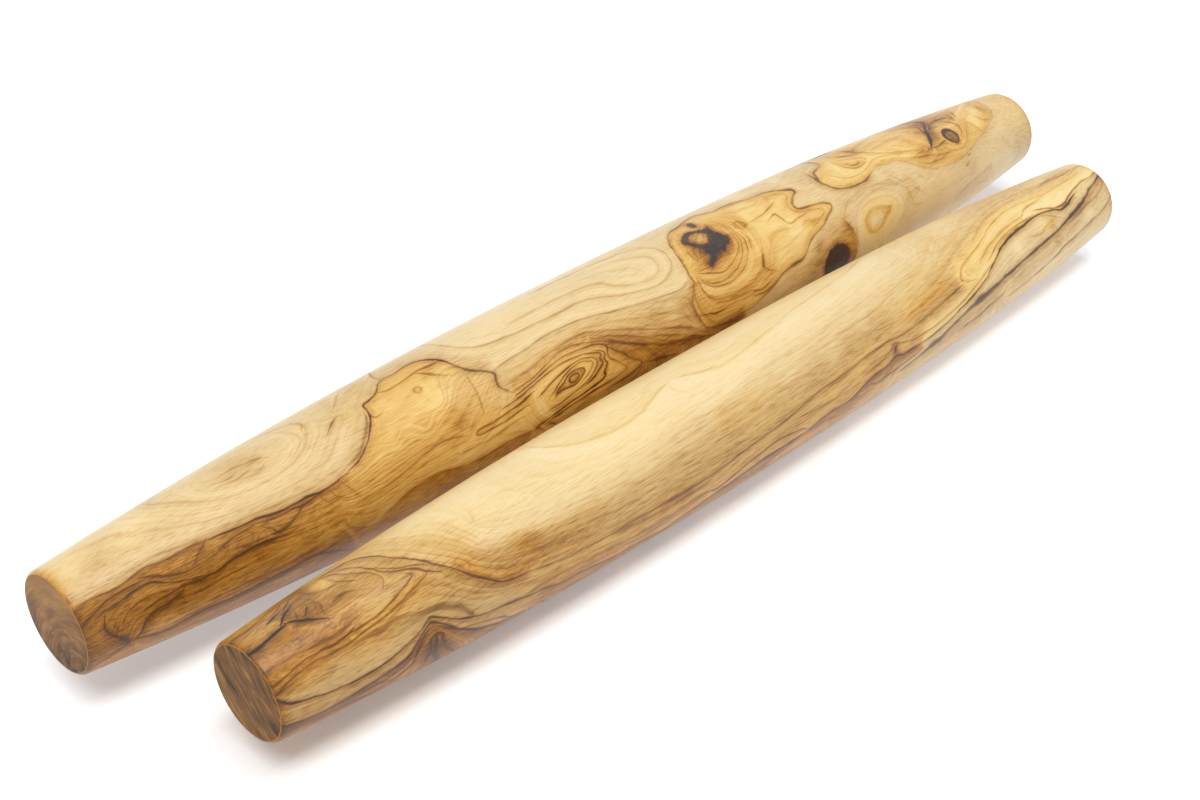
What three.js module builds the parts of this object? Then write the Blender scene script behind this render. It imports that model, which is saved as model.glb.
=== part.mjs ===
// Two tapered one-piece rolling pins, a long one and a short one, lying side by side on a table.
// Each pin is turned from a single length of olive wood: it has no axle, no bearings and no handles, and
// its whole body rolls under the palms. Millimetres, +Z up. The table is the plane z = 0, both pins lie
// along X, and the origin is under the middle of the pair.
import * as THREE from "three";

// Driving dimensions of the long pin
const LONG_LENGTH = 450;
const LONG_BELLY_DIAMETER = 51;
const LONG_END_DIAMETER = 31;

// Driving dimensions of the short pin
const SHORT_LENGTH = 400;
const SHORT_BELLY_DIAMETER = 45;
const SHORT_END_DIAMETER = 29.5;

// How both pins are turned: the radius falls from belly to end with this power of the distance from the
// middle, so a pin is nearly straight at its belly and tapers fastest near its ends
const TAPER_POWER = 2.35;
const END_EDGE_RADIUS = 1.5;

// How the pins lie: the clear space between their bellies, and how far the short one is set along X
const BELLY_SPACE = 8.2;
const SHORT_PIN_SHIFT = -4.8;

// Fineness of the turned surfaces. The odd number of belly steps leaves a level stretch at mid-length
const SIDES = 48;
const BELLY_STEPS = 19;
const EDGE_STEPS = 4;

// Olive wood, oiled and polished to a satin sheen
const oliveWood = new THREE.MeshStandardMaterial({ color: 0xdcb878, roughness: 0.45, metalness: 0 });

// Half of the profile from the belly to one end face, as points (radius, distance from mid-length).
// The side curve runs into the edge rounding with no corner, and the rounding into the flat end face.
function halfProfile(length, bellyDiameter, endDiameter) {
  const half = length / 2;
  const belly = bellyDiameter / 2;
  const taper = belly - endDiameter / 2;
  const radiusAt = (x) => belly - taper * (x / half) ** TAPER_POWER;
  const endSlope = Math.atan((taper * TAPER_POWER) / half);
  const edgeStart = half - END_EDGE_RADIUS * (1 - Math.sin(endSlope));
  const edgeCentre = radiusAt(edgeStart) - END_EDGE_RADIUS * Math.cos(endSlope);

  const points = [];
  for (let i = 0.5; i < BELLY_STEPS / 2; i++) {
    const x = (edgeStart * i) / (BELLY_STEPS / 2);
    points.push(new THREE.Vector2(radiusAt(x), x));
  }
  for (let i = 0; i <= EDGE_STEPS; i++) {
    const angle = endSlope + ((Math.PI / 2 - endSlope) * i) / EDGE_STEPS;
    const radius = edgeCentre + END_EDGE_RADIUS * Math.cos(angle);
    points.push(new THREE.Vector2(radius, half - END_EDGE_RADIUS * (1 - Math.sin(angle))));
  }
  points.push(new THREE.Vector2(0, half));
  return points;
}

// One pin, turned about its own long axis and laid along X. Half a facet of turn puts a flat of the belly
// underneath, and the pin lies with that flat on the table, so it stays where it is put.
function turnedPin(name, length, bellyDiameter, endDiameter) {
  const right = halfProfile(length, bellyDiameter, endDiameter);
  const left = right.map((p) => new THREE.Vector2(p.x, -p.y)).reverse();
  const geometry = new THREE.LatheGeometry([...left, ...right], SIDES);
  geometry.rotateY(Math.PI / SIDES);
  const pin = new THREE.Mesh(geometry, oliveWood);
  pin.name = name;
  pin.rotation.z = -Math.PI / 2;
  const levelRadius = right[0].x;
  pin.position.z = levelRadius * Math.cos(Math.PI / SIDES);
  return pin;
}

const pairWidth = LONG_BELLY_DIAMETER + BELLY_SPACE + SHORT_BELLY_DIAMETER;

const longPin = turnedPin("long_pin", LONG_LENGTH, LONG_BELLY_DIAMETER, LONG_END_DIAMETER);
longPin.position.y = (pairWidth - LONG_BELLY_DIAMETER) / 2;

const shortPin = turnedPin("short_pin", SHORT_LENGTH, SHORT_BELLY_DIAMETER, SHORT_END_DIAMETER);
shortPin.position.x = SHORT_PIN_SHIFT;
shortPin.position.y = (SHORT_BELLY_DIAMETER - pairWidth) / 2;

const rollingPins = new THREE.Group();
rollingPins.add(longPin, shortPin);

export default rollingPins;
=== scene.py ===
# %% [markdown]
# # A pair of olive wood rolling pins
# Two tapered pins lie side by side on a white table. Each one is a single length of olive wood, turned on
# a lathe, sanded and oiled. There is nothing to assemble, so all the work is in two things: a clean turned
# shape, and the wild figure of olive wood, with its dark veins, golden heartwood, eyes and black knots.
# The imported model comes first. It is the fixed frame that every piece is built around.

# %% Load the frame
import math
from collections import namedtuple

import bpy
import numpy as np
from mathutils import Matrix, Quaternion, Vector


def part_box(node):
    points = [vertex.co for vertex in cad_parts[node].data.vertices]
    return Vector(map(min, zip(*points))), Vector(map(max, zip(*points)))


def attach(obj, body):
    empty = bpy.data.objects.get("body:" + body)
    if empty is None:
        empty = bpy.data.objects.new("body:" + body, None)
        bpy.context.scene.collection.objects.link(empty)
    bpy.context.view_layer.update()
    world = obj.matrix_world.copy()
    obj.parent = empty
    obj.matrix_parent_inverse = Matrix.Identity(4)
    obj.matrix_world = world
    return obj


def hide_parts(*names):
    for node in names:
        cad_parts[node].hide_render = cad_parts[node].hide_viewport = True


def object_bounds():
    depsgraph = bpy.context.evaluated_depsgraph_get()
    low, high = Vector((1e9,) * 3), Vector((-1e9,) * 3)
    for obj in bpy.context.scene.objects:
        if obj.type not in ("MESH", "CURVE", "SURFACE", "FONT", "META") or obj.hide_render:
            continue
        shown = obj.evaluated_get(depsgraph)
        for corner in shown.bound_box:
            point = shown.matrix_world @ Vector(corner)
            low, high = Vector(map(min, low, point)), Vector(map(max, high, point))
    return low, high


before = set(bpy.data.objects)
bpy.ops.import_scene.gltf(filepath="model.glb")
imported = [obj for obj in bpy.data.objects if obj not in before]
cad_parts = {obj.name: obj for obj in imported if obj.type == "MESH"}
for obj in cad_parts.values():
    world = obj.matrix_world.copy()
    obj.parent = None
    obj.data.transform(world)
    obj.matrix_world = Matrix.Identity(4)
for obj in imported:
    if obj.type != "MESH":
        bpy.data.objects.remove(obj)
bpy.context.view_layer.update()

MM = 0.001

# %% [markdown]
# ## Camera
# The pins are seen from the left, in front and above, with a short telephoto lens, so the far ends look
# clearly smaller than the near ones. The numbers below were solved from the outlines of the pins.

# %% Camera
VIEW_AZIMUTH = -46.16
VIEW_ELEVATION = 32.05
VIEW_DISTANCE = 0.5911
VIEW_TARGET = Vector((-0.0399, 0.0032, 0.0225))
LENS_MM = 55.19
SENSOR_MM = 36


def direction(azimuth, elevation):
    """Unit vector that points at an azimuth and elevation in degrees. Azimuth 0 points along -Y."""
    a = math.radians(azimuth)
    e = math.radians(elevation)
    return Vector((math.sin(a) * math.cos(e), -math.cos(a) * math.cos(e), math.sin(e)))


def aim(obj, target, away, distance):
    """Puts a camera or lamp at a distance from a target, turned towards it."""
    obj.location = target + away * distance
    obj.rotation_mode = "QUATERNION"
    obj.rotation_quaternion = (-away).to_track_quat("-Z", "Y")
    bpy.context.scene.collection.objects.link(obj)


camera = bpy.data.objects.new("Camera", bpy.data.cameras.new("Camera"))
camera.data.lens = LENS_MM
camera.data.sensor_width = SENSOR_MM
aim(camera, VIEW_TARGET, direction(VIEW_AZIMUTH, VIEW_ELEVATION), VIEW_DISTANCE)
bpy.context.scene.camera = camera
print("camera at", tuple(round(v, 4) for v in camera.location))

# %% [markdown]
# ## Two small helpers
# Every node tree below is built with one function, which adds a node, sets it and feeds its sockets.
# Colours are written as the hex values that a paint program shows. Those are sRGB, and Blender works in
# linear light, so one function converts them.

# %% Helpers for nodes and colours
MATH = "ShaderNodeMath"
VECTOR_MATH = "ShaderNodeVectorMath"
MAP_RANGE = "ShaderNodeMapRange"


def node(tree, kind, *inputs, out=0, **settings):
    """Adds a node with its settings, feeds its inputs with sockets or values, and returns one output.

    The inputs come in the order of the node's sockets, or as one dictionary by socket name.
    """
    added = tree.nodes.new(kind)
    for name, value in settings.items():
        setattr(added, name, value)
    by_name = len(inputs) == 1 and isinstance(inputs[0], dict)
    for socket, value in inputs[0].items() if by_name else enumerate(inputs):
        if isinstance(value, bpy.types.NodeSocket):
            tree.links.new(value, added.inputs[socket])
        else:
            added.inputs[socket].default_value = value
    return added.outputs[out] if len(added.outputs) else added


def colour(hex_value):
    """Linear RGBA from an sRGB hex value such as D9A651."""
    shares = [int(hex_value[i:i + 2], 16) / 255 for i in (0, 2, 4)]
    linear = [s / 12.92 if s <= 0.04045 else ((s + 0.055) / 1.055) ** 2.4 for s in shares]
    return (*linear, 1.0)


print("helpers ready, for example white is", colour("FFFFFF"))

# %% [markdown]
# ## Light
# The light is a plain white studio: an even white surround, and one long softbox high up, a little to the
# front left. It lies along the pins, so it rounds them and leaves a soft shadow close under them that fades
# at their ends. Together they light an upward face at about 1, so a colour renders about as it is written.
# What the camera and the wood's gloss see of the surround is plain white, whatever the light it gives. For
# that, rays that look are told apart from rays that only carry light.

# %% World and softbox
SURROUND = 0.35
SOFTBOX_LENGTH = 2.2
SOFTBOX_WIDTH = 0.95
SOFTBOX_POWER = 40
SOFTBOX_DISTANCE = 2.2
SOFTBOX_AZIMUTH = -40
SOFTBOX_ELEVATION = 70


def looking(tree):
    """1 for rays from the camera, in gloss and through glass, and 0 for rays that only carry light."""
    rays = tree.nodes.new("ShaderNodeLightPath").outputs
    looks = node(tree, MATH, rays["Is Camera Ray"], rays["Is Glossy Ray"], operation="MAXIMUM")
    return node(tree, MATH, looks, rays["Is Transmission Ray"], operation="MAXIMUM")


world = bpy.data.worlds.new("White studio")
bpy.context.scene.world = world
world.use_nodes = True
sky = world.node_tree
sky.nodes.clear()
strength = node(sky, MAP_RANGE, looking(sky), 0.0, 1.0, SURROUND, 1.0)
white_sky = node(sky, "ShaderNodeBackground", colour("FFFFFF"), strength)
node(sky, "ShaderNodeOutputWorld", white_sky)

softbox = bpy.data.objects.new("Softbox", bpy.data.lights.new("Softbox", "AREA"))
softbox.data.shape = "RECTANGLE"
softbox.data.size = SOFTBOX_LENGTH
softbox.data.size_y = SOFTBOX_WIDTH
softbox.data.energy = SOFTBOX_POWER
aim(softbox, Vector((0, 0, 0)), direction(SOFTBOX_AZIMUTH, SOFTBOX_ELEVATION), SOFTBOX_DISTANCE)
softbox.rotation_quaternion @= Quaternion((0, 0, 1), math.radians(-SOFTBOX_AZIMUTH))
bpy.context.scene.view_settings.view_transform = "Standard"
print("softbox at", tuple(round(v, 3) for v in softbox.location))

# %% [markdown]
# ## The turned shape
# On the lathe a pin starts as a cylinder, and the tool takes more off towards the ends. The node tree does
# the same: it takes a cylinder with many rings and moves each ring to its radius. From the belly the radius
# falls with a power of the distance from mid-length. At the end the last rings run round a quarter circle
# that starts in line with the taper, so the edge is eased with no corner. The caps are the flat end faces.
# A profile could be spun in mesh code as well, but a tree keeps the sizes as inputs that can be changed
# later, for a pin of any length.

# %% Geometry nodes for a turned pin
PIN_SIZES = ("Length", "Belly diameter", "End diameter", "Taper power", "Edge radius")
PIN_COUNTS = ("Sides", "Taper rings", "Edge rings", "Face rings")


def turned_pin_tree():
    """Node tree that turns one pin along X, about the point Middle. Sizes are in metres."""
    tree = bpy.data.node_groups.new("Turned pin", "GeometryNodeTree")
    interface = tree.interface
    interface.new_socket("Pin", in_out="OUTPUT", socket_type="NodeSocketGeometry")
    for name in PIN_SIZES:
        interface.new_socket(name, in_out="INPUT", socket_type="NodeSocketFloat")
    for name in PIN_COUNTS:
        interface.new_socket(name, in_out="INPUT", socket_type="NodeSocketInt")
    interface.new_socket("Middle", in_out="INPUT", socket_type="NodeSocketVector")
    interface.new_socket("Wood", in_out="INPUT", socket_type="NodeSocketMaterial")
    size = tree.nodes.new("NodeGroupInput").outputs
    edge = size["Edge radius"]

    # Sizes that follow from the inputs: the slope of the taper where it meets the edge, and where that is
    half = node(tree, MATH, size["Length"], 0.5, operation="MULTIPLY")
    belly = node(tree, MATH, size["Belly diameter"], 0.5, operation="MULTIPLY")
    taper = node(tree, MATH, size["End diameter"], -0.5, belly, operation="MULTIPLY_ADD")
    steepness = node(tree, MATH, taper, size["Taper power"], operation="MULTIPLY")
    steepness = node(tree, MATH, steepness, half, operation="DIVIDE")
    end_slope = node(tree, MATH, steepness, operation="ARCTANGENT")
    slope_sine = node(tree, MATH, end_slope, operation="SINE")
    slope_cosine = node(tree, MATH, end_slope, operation="COSINE")
    edge_depth = node(tree, MATH, 1.0, slope_sine, operation="SUBTRACT")
    edge_depth = node(tree, MATH, edge_depth, edge, operation="MULTIPLY")
    edge_start = node(tree, MATH, half, edge_depth, operation="SUBTRACT")

    # The blank: a cylinder of radius 1 that reaches from -1 to 1, in evenly spaced rings
    half_rings = node(tree, MATH, size["Taper rings"], size["Edge rings"], operation="ADD")
    blank = node(tree, "GeometryNodeMeshCylinder", {
        "Vertices": size["Sides"],
        "Side Segments": node(tree, MATH, half_rings, 2.0, operation="MULTIPLY"),
        "Fill Segments": size["Face rings"],
        "Radius": 1.0,
        "Depth": 2.0,
    }, fill_type="TRIANGLE_FAN")
    place = node(tree, "GeometryNodeInputPosition")
    blank_place = node(tree, "ShaderNodeSeparateXYZ", place).node.outputs

    # How far each ring is along the taper, and how far round the edge
    ring = node(tree, MATH, blank_place["Z"], operation="ABSOLUTE")
    ring = node(tree, MATH, ring, half_rings, operation="MULTIPLY")
    taper_share = node(tree, MATH, ring, size["Taper rings"], operation="DIVIDE")
    taper_share = node(tree, MATH, taper_share, 1.0, operation="MINIMUM")
    edge_share = node(tree, MATH, ring, size["Taper rings"], operation="SUBTRACT")
    edge_share = node(tree, MATH, edge_share, size["Edge rings"], operation="DIVIDE")
    edge_share = node(tree, MATH, edge_share, 0.0, operation="MAXIMUM")
    edge_turn = node(tree, MATH, math.pi / 2, end_slope, operation="SUBTRACT")
    edge_angle = node(tree, MATH, edge_share, edge_turn, end_slope, operation="MULTIPLY_ADD")

    # Distance from mid-length and radius, first by the taper and then by the edge
    out_along = node(tree, MATH, edge_start, taper_share, operation="MULTIPLY")
    fall = node(tree, MATH, out_along, half, operation="DIVIDE")
    fall = node(tree, MATH, fall, size["Taper power"], operation="POWER")
    fall = node(tree, MATH, fall, taper, operation="MULTIPLY")
    radius = node(tree, MATH, belly, fall, operation="SUBTRACT")
    edge_out = node(tree, MATH, edge_angle, operation="SINE")
    edge_out = node(tree, MATH, edge_out, slope_sine, operation="SUBTRACT")
    edge_in = node(tree, MATH, edge_angle, operation="COSINE")
    edge_in = node(tree, MATH, edge_in, slope_cosine, operation="SUBTRACT")
    out_along = node(tree, MATH, edge_out, edge, out_along, operation="MULTIPLY_ADD")
    radius = node(tree, MATH, edge_in, edge, radius, operation="MULTIPLY_ADD")

    # The blank's own axis, Z, is laid along X
    side = node(tree, MATH, blank_place["Z"], operation="SIGN")
    along = node(tree, MATH, out_along, side, operation="MULTIPLY")
    back = node(tree, MATH, radius, blank_place["X"], operation="MULTIPLY")
    up = node(tree, MATH, radius, blank_place["Y"], operation="MULTIPLY")
    turned = node(tree, "ShaderNodeCombineXYZ", along, back, up)
    turned = node(tree, VECTOR_MATH, turned, size["Middle"], operation="ADD")
    pin = node(tree, "GeometryNodeSetPosition", {"Geometry": blank, "Position": turned})
    pin = node(tree, "GeometryNodeSetShadeSmooth", {"Geometry": pin})
    pin = node(tree, "GeometryNodeRealizeInstances", {"Geometry": pin})
    pin = node(tree, "GeometryNodeSetMaterial", {"Geometry": pin, "Material": size["Wood"]})
    node(tree, "NodeGroupOutput", pin)
    return tree


pin_tree = turned_pin_tree()
print("turned pin tree:", len(pin_tree.nodes), "nodes")

# %% [markdown]
# ## Olive wood, turned, sanded and oiled
# Olive wood is dense and fine: cream sapwood, golden heartwood, and brown to black veins that wander across
# it. Oil deepens the colour and leaves a satin sheen. An image would be the usual way to get such a figure.
# Here it is drawn instead, in two steps. The large figure, which is different at every place, is kept on
# the pin itself as attributes, and they are filled in further below:
# - figure holds tone (0 pale, 1 dark), gold (0 grey cream, 1 golden) and growth, a number that rises from
#   growth ring to growth ring, so that lines of equal growth are the grain
# - vein_0, vein_1 and so on hold the distance to a vein in half widths, and how dark and black it is
# - knot holds the distance in millimetres from the rim of a knot, and is negative inside
# - end_grain holds, on an end face, the distance from the heart of the tree, the place round it, and how
#   dark that face is
# The fine figure is the same everywhere, so nodes can make it: growth lines, fibres and pores.

# %% Colours and gloss of the wood
NOISE = "ShaderNodeTexNoise"
ATTRIBUTE = "ShaderNodeAttribute"
SPLIT = "ShaderNodeSeparateXYZ"
JOIN = "ShaderNodeCombineXYZ"
COLOUR_RAMP = "ShaderNodeValToRGB"
MIX_COLOUR = "ShaderNodeMixRGB"

PLAIN_WOOD = ((0.0, "FBEBC9"), (0.16, "EED6A5"), (0.36, "D1AE75"), (0.62, "A37C47"), (1.0, "6C4A29"))
GOLDEN_WOOD = ((0.0, "FCE4A4"), (0.18, "F2CC79"), (0.40, "DBA64A"), (0.66, "AE7120"), (1.0, "6E4210"))
END_GRAIN = ((0.0, "D2A468"), (0.3, "AC7D46"), (0.55, "845C34"), (0.75, "6C4F2E"), (1.0, "352A20"))
VEIN_BROWN = "4A2E1A"
KNOT_BLACK = "2A292C"
KNOT_RED = "74401B"
ROUGHNESS = 0.36
SIDE_SHEEN = 0.35
END_SHEEN = 0.05
SIDE_OIL = 0.1
END_OIL = 0.0
OIL_ROUGHNESS = 0.22
WOOD_IOR = 1.5


def set_stops(shade, stops):
    """Gives a colour ramp its stops, each a place and a hex colour."""
    elements = shade.node.color_ramp.elements
    for i, (place, hex_value) in enumerate(stops):
        element = elements[i] if i < 2 else elements.new(place)
        element.position = place
        element.color = colour(hex_value)


print("plain, golden and end grain, of", len(PLAIN_WOOD), "colours each")

# %% [markdown]
# Clouds, fibres and pores are all stretched along the grain. So each pattern of noise is given by the sizes
# of its features in millimetres along, across and up.

# %% Patterns of noise
# Fibres are about a tenth of a millimetre wide. Here they are twice that, so that they show
PATTERNS = {
    "wobble": ((30, 8, 8), {}),
    "cloud": ((16, 5, 5), {"Detail": 3.0}),
    "ring_patch": ((35, 12, 12), {}),
    "curl": ((9, 3.5, 3.5), {"Detail": 3.0, "Distortion": 1.2}),
    "fibre": ((9, 0.22, 0.22), {}),
    "pore": ((5, 0.34, 0.34), {"Detail": 0.0}),
    "wander": ((7, 2.5, 2.5), {}),
    "swell": ((14, 6, 6), {}),
    "ragged": ((2, 2, 2), {"Detail": 3.0}),
}
NOISE_MIDDLE = 0.5
# A range says which values of the input become which values of the output. This one spreads a noise
SPREAD = (-0.25, 0.25, -0.5, 0.5)


def noise_patterns(tree, place):
    """Every pattern of noise at a place in metres, each about 0 and seldom beyond a quarter."""
    noise = {}
    for name, (sizes, settings) in PATTERNS.items():
        per_metre = tuple(1 / (size * MM) for size in sizes)
        scaled = node(tree, VECTOR_MATH, place, per_metre, operation="MULTIPLY")
        made = node(tree, NOISE, {"Vector": scaled, "Scale": 1.0, **settings})
        noise[name] = node(tree, MATH, made, NOISE_MIDDLE, operation="SUBTRACT")
    return noise


print(len(PATTERNS), "patterns of noise")

# %% [markdown]
# The grain is what the wood has everywhere. Growth lines and late wood follow equal growth. Curls, fibres
# and pores follow the pin. All of it is weaker in pale wood.

# %% Grain
# Growth lines: how many to one step of growth, how long they run in mm, and how strong they are
GROWTH_LINES = ((0.7, 130, 0.40), (2.2, 60, 0.44), (6.0, 25, 0.28))
GROWTH_WOBBLE = 1.2
CLOUD_STRENGTH = 0.32
RINGS_PER_GROWTH = 1.7
LATE_WOOD_POWER = 4.0
RING_PATCHES = (-0.15, 0.2, 0.0, 0.3)
CURL_LINES = (0.0, 0.035, 0.16, 0.0)
CURLS_BY_TONE = (0.25, 0.6, 0.0, 1.0)
CONTRAST_BY_TONE = (0.05, 0.5, 0.25, 1.0)
CONTRAST_BY_GOLD = (0.1, 0.9, 0.5, 1.0)
FIBRE_STRENGTH = 0.18
PORES = (0.0, 0.25, 0.0, 0.18)
FIBRES_BY_TONE = (0.16, 0.45, 0.4, 1.0)


def grain(tree, noise, along, tone, gold, growth):
    """Tone with the fine grain added."""
    # Growth lines, in three finenesses, that follow equal growth
    growth = node(tree, MATH, noise["wobble"], GROWTH_WOBBLE, growth, operation="MULTIPLY_ADD")
    lines = node(tree, MATH, noise["cloud"], CLOUD_STRENGTH, operation="MULTIPLY")
    for per_growth, length, strength in GROWTH_LINES:
        across_lines = node(tree, MATH, growth, per_growth, operation="MULTIPLY")
        along_lines = node(tree, MATH, along, 1 / (length * MM), operation="MULTIPLY")
        on_lines = node(tree, JOIN, across_lines, along_lines, per_growth)
        line = node(tree, NOISE, {"Vector": on_lines, "Scale": 1.0})
        line = node(tree, MATH, line, NOISE_MIDDLE, operation="SUBTRACT")
        lines = node(tree, MATH, line, strength, lines, operation="MULTIPLY_ADD")

    # Late wood: each ring darkens slowly and ends sharply, more in some places than in others
    late = node(tree, MAP_RANGE, noise["ring_patch"], *RING_PATCHES)
    ring = node(tree, MATH, growth, RINGS_PER_GROWTH, operation="MULTIPLY")
    ring = node(tree, MATH, ring, operation="FRACT")
    ring = node(tree, MATH, ring, LATE_WOOD_POWER, operation="POWER")
    lines = node(tree, MATH, ring, late, lines, operation="MULTIPLY_ADD")

    # Curls: thin brown lines that wander through dark wood
    curl = node(tree, MATH, noise["curl"], operation="ABSOLUTE")
    curl = node(tree, MAP_RANGE, curl, *CURL_LINES)
    curliness = node(tree, MAP_RANGE, tone, *CURLS_BY_TONE)
    lines = node(tree, MATH, curl, curliness, lines, operation="MULTIPLY_ADD")

    contrast = node(tree, MAP_RANGE, tone, *CONTRAST_BY_TONE)
    richness = node(tree, MAP_RANGE, gold, *CONTRAST_BY_GOLD)
    contrast = node(tree, MATH, contrast, richness, operation="MULTIPLY")
    tone = node(tree, MATH, lines, contrast, tone, operation="MULTIPLY_ADD")

    # Fibres along the pin, and pores as short dark dashes
    pore = node(tree, MAP_RANGE, noise["pore"], *PORES)
    fibre = node(tree, MATH, noise["fibre"], FIBRE_STRENGTH, pore, operation="MULTIPLY_ADD")
    coarseness = node(tree, MAP_RANGE, tone, *FIBRES_BY_TONE)
    return node(tree, MATH, fibre, coarseness, tone, operation="MULTIPLY_ADD")


print(len(GROWTH_LINES), "finenesses of growth lines")

# %% [markdown]
# A vein is a narrow line that wanders about its course, swells and fades. It stains the wood beside it, and
# farther on its right than on its left.

# %% Veins
VEIN_LAYERS = 8
VEIN_NARROWING = (-0.2, 0.2, 1.5, 0.55)
VEIN_FADING = (-0.2, 0.15, 0.55, 1.2)
# These three are in half widths of the vein
VEIN_LINE = (0.25, 1.2, 1.0, 0.0)
STAIN_LEFT = (0.0, 3.0, 1.0, 0.0)
STAIN_RIGHT = (-6.0, 0.0, 0.0, 1.0)
VEIN_STAIN = 0.22
VEIN_TONE = 0.4
VEIN_COVER = (0.25, 0.9, 0.0, 0.92)


def veins(tree, noise, tone):
    """Tone with the veins in it, how much of their brown covers it, and how black they are."""
    wander = node(tree, MAP_RANGE, noise["wander"], *SPREAD)
    narrowing = node(tree, MAP_RANGE, noise["swell"], *VEIN_NARROWING)
    fading = node(tree, MAP_RANGE, noise["swell"], *VEIN_FADING)
    brown = 0.0
    stain = 0.0
    black = 0.0
    for layer in range(VEIN_LAYERS):
        course = node(tree, ATTRIBUTE, attribute_name=f"vein_{layer}", out="Vector")
        offset, dark, soot = node(tree, SPLIT, course).node.outputs
        offset = node(tree, MATH, offset, wander, operation="ADD")
        offset = node(tree, MATH, offset, narrowing, operation="MULTIPLY")
        gap = node(tree, MATH, offset, operation="ABSOLUTE")
        line = node(tree, MAP_RANGE, gap, *VEIN_LINE, interpolation_type="SMOOTHSTEP")
        left = node(tree, MAP_RANGE, offset, *STAIN_LEFT, interpolation_type="SMOOTHSTEP")
        right = node(tree, MAP_RANGE, offset, *STAIN_RIGHT, interpolation_type="SMOOTHSTEP")
        beside = node(tree, MATH, left, right, operation="MULTIPLY")
        dark_line = node(tree, MATH, line, dark, operation="MULTIPLY")
        dark_side = node(tree, MATH, beside, dark, operation="MULTIPLY")
        black_line = node(tree, MATH, line, soot, operation="MULTIPLY")
        brown = node(tree, MATH, brown, dark_line, operation="MAXIMUM")
        stain = node(tree, MATH, stain, dark_side, operation="MAXIMUM")
        black = node(tree, MATH, black, black_line, operation="MAXIMUM")
    brown = node(tree, MATH, brown, fading, operation="MULTIPLY")
    tone = node(tree, MATH, stain, VEIN_STAIN, tone, operation="MULTIPLY_ADD")
    tone = node(tree, MATH, brown, VEIN_TONE, tone, operation="MULTIPLY_ADD")
    return tone, node(tree, MAP_RANGE, brown, *VEIN_COVER), black


print("up to", VEIN_LAYERS, "layers of veins")

# %% [markdown]
# A knot has a ragged rim. It is nearly black inside, with some red brown at its rim and in patches, and the
# wood just outside is scorched brown. An end face is cut across the grain, so it shows arcs of growth about
# the heart of the tree.

# %% Knots and end faces
# Distances from the rim are in mm
KNOT_INSIDE = (-0.2, 0.4, 0.95, 0.0)
KNOT_SCORCH = (0.0, 2.5, 0.22, 0.0)
RED_WOBBLE = 0.8
RED_RIM = (-0.9, 0.2, 0.0, 0.9)
RED_PATCHES = (0.0, 0.4, 0.0, 0.55)
# Arcs on the end faces: width and length in mm, and strength
END_ARCS = ((4.0, 14, 3.4), (1.3, 7, 2.6), (0.4, 3, 1.5))
END_WOBBLE = 2.5
ON_END = (0.0, 0.1, 0.0, 1.0)


def knots(tree, noise, tone, black):
    """Tone and blackness with the knots in them, and the colour of what is black."""
    ragged = node(tree, MAP_RANGE, noise["ragged"], *SPREAD)
    rim = node(tree, ATTRIBUTE, attribute_name="knot", out="Fac")
    rim = node(tree, MATH, rim, ragged, operation="ADD")
    inside = node(tree, MAP_RANGE, rim, *KNOT_INSIDE, interpolation_type="SMOOTHSTEP")
    scorch = node(tree, MAP_RANGE, rim, *KNOT_SCORCH, interpolation_type="SMOOTHSTEP")
    tone = node(tree, MATH, tone, scorch, operation="ADD")
    black = node(tree, MATH, black, inside, operation="MAXIMUM")
    red = node(tree, MATH, ragged, RED_WOBBLE, rim, operation="MULTIPLY_ADD")
    red = node(tree, MAP_RANGE, red, *RED_RIM)
    red_patch = node(tree, MAP_RANGE, ragged, *RED_PATCHES)
    red = node(tree, MATH, red, red_patch, operation="MAXIMUM")
    red = node(tree, MATH, red, inside, operation="MULTIPLY")
    return tone, black, node(tree, MIX_COLOUR, red, colour(KNOT_BLACK), colour(KNOT_RED))


def end_faces(tree, noise):
    """Colour of the end faces, and where they are: 1 on an end face and 0 elsewhere."""
    end_place = node(tree, ATTRIBUTE, attribute_name="end_grain", out="Vector")
    from_heart, round_heart, tone = node(tree, SPLIT, end_place).node.outputs
    on_end = node(tree, MAP_RANGE, tone, *ON_END)
    from_heart = node(tree, MATH, noise["wobble"], END_WOBBLE, from_heart, operation="MULTIPLY_ADD")
    lines = 0.0
    for width, length, strength in END_ARCS:
        across_arcs = node(tree, MATH, from_heart, 1 / width, operation="MULTIPLY")
        along_arcs = node(tree, MATH, round_heart, 1 / length, operation="MULTIPLY")
        on_arcs = node(tree, JOIN, across_arcs, along_arcs, width)
        arc = node(tree, NOISE, {"Vector": on_arcs, "Scale": 1.0})
        arc = node(tree, MATH, arc, NOISE_MIDDLE, operation="SUBTRACT")
        lines = node(tree, MATH, arc, strength, lines, operation="MULTIPLY_ADD")
    contrast = node(tree, MATH, tone, tone, operation="MULTIPLY")
    tone = node(tree, MATH, lines, contrast, tone, operation="MULTIPLY_ADD")
    shade = node(tree, COLOUR_RAMP, tone)
    set_stops(shade, END_GRAIN)
    return shade, on_end


print(len(END_ARCS), "finenesses of arcs on the end faces")

# %% [markdown]
# Now the material can be put together: tone first, then colour, and the gloss of oiled wood.

# %% Olive wood
FIBRE_HEIGHT = 0.02 * MM
FIBRE_BUMP = 0.25


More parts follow.
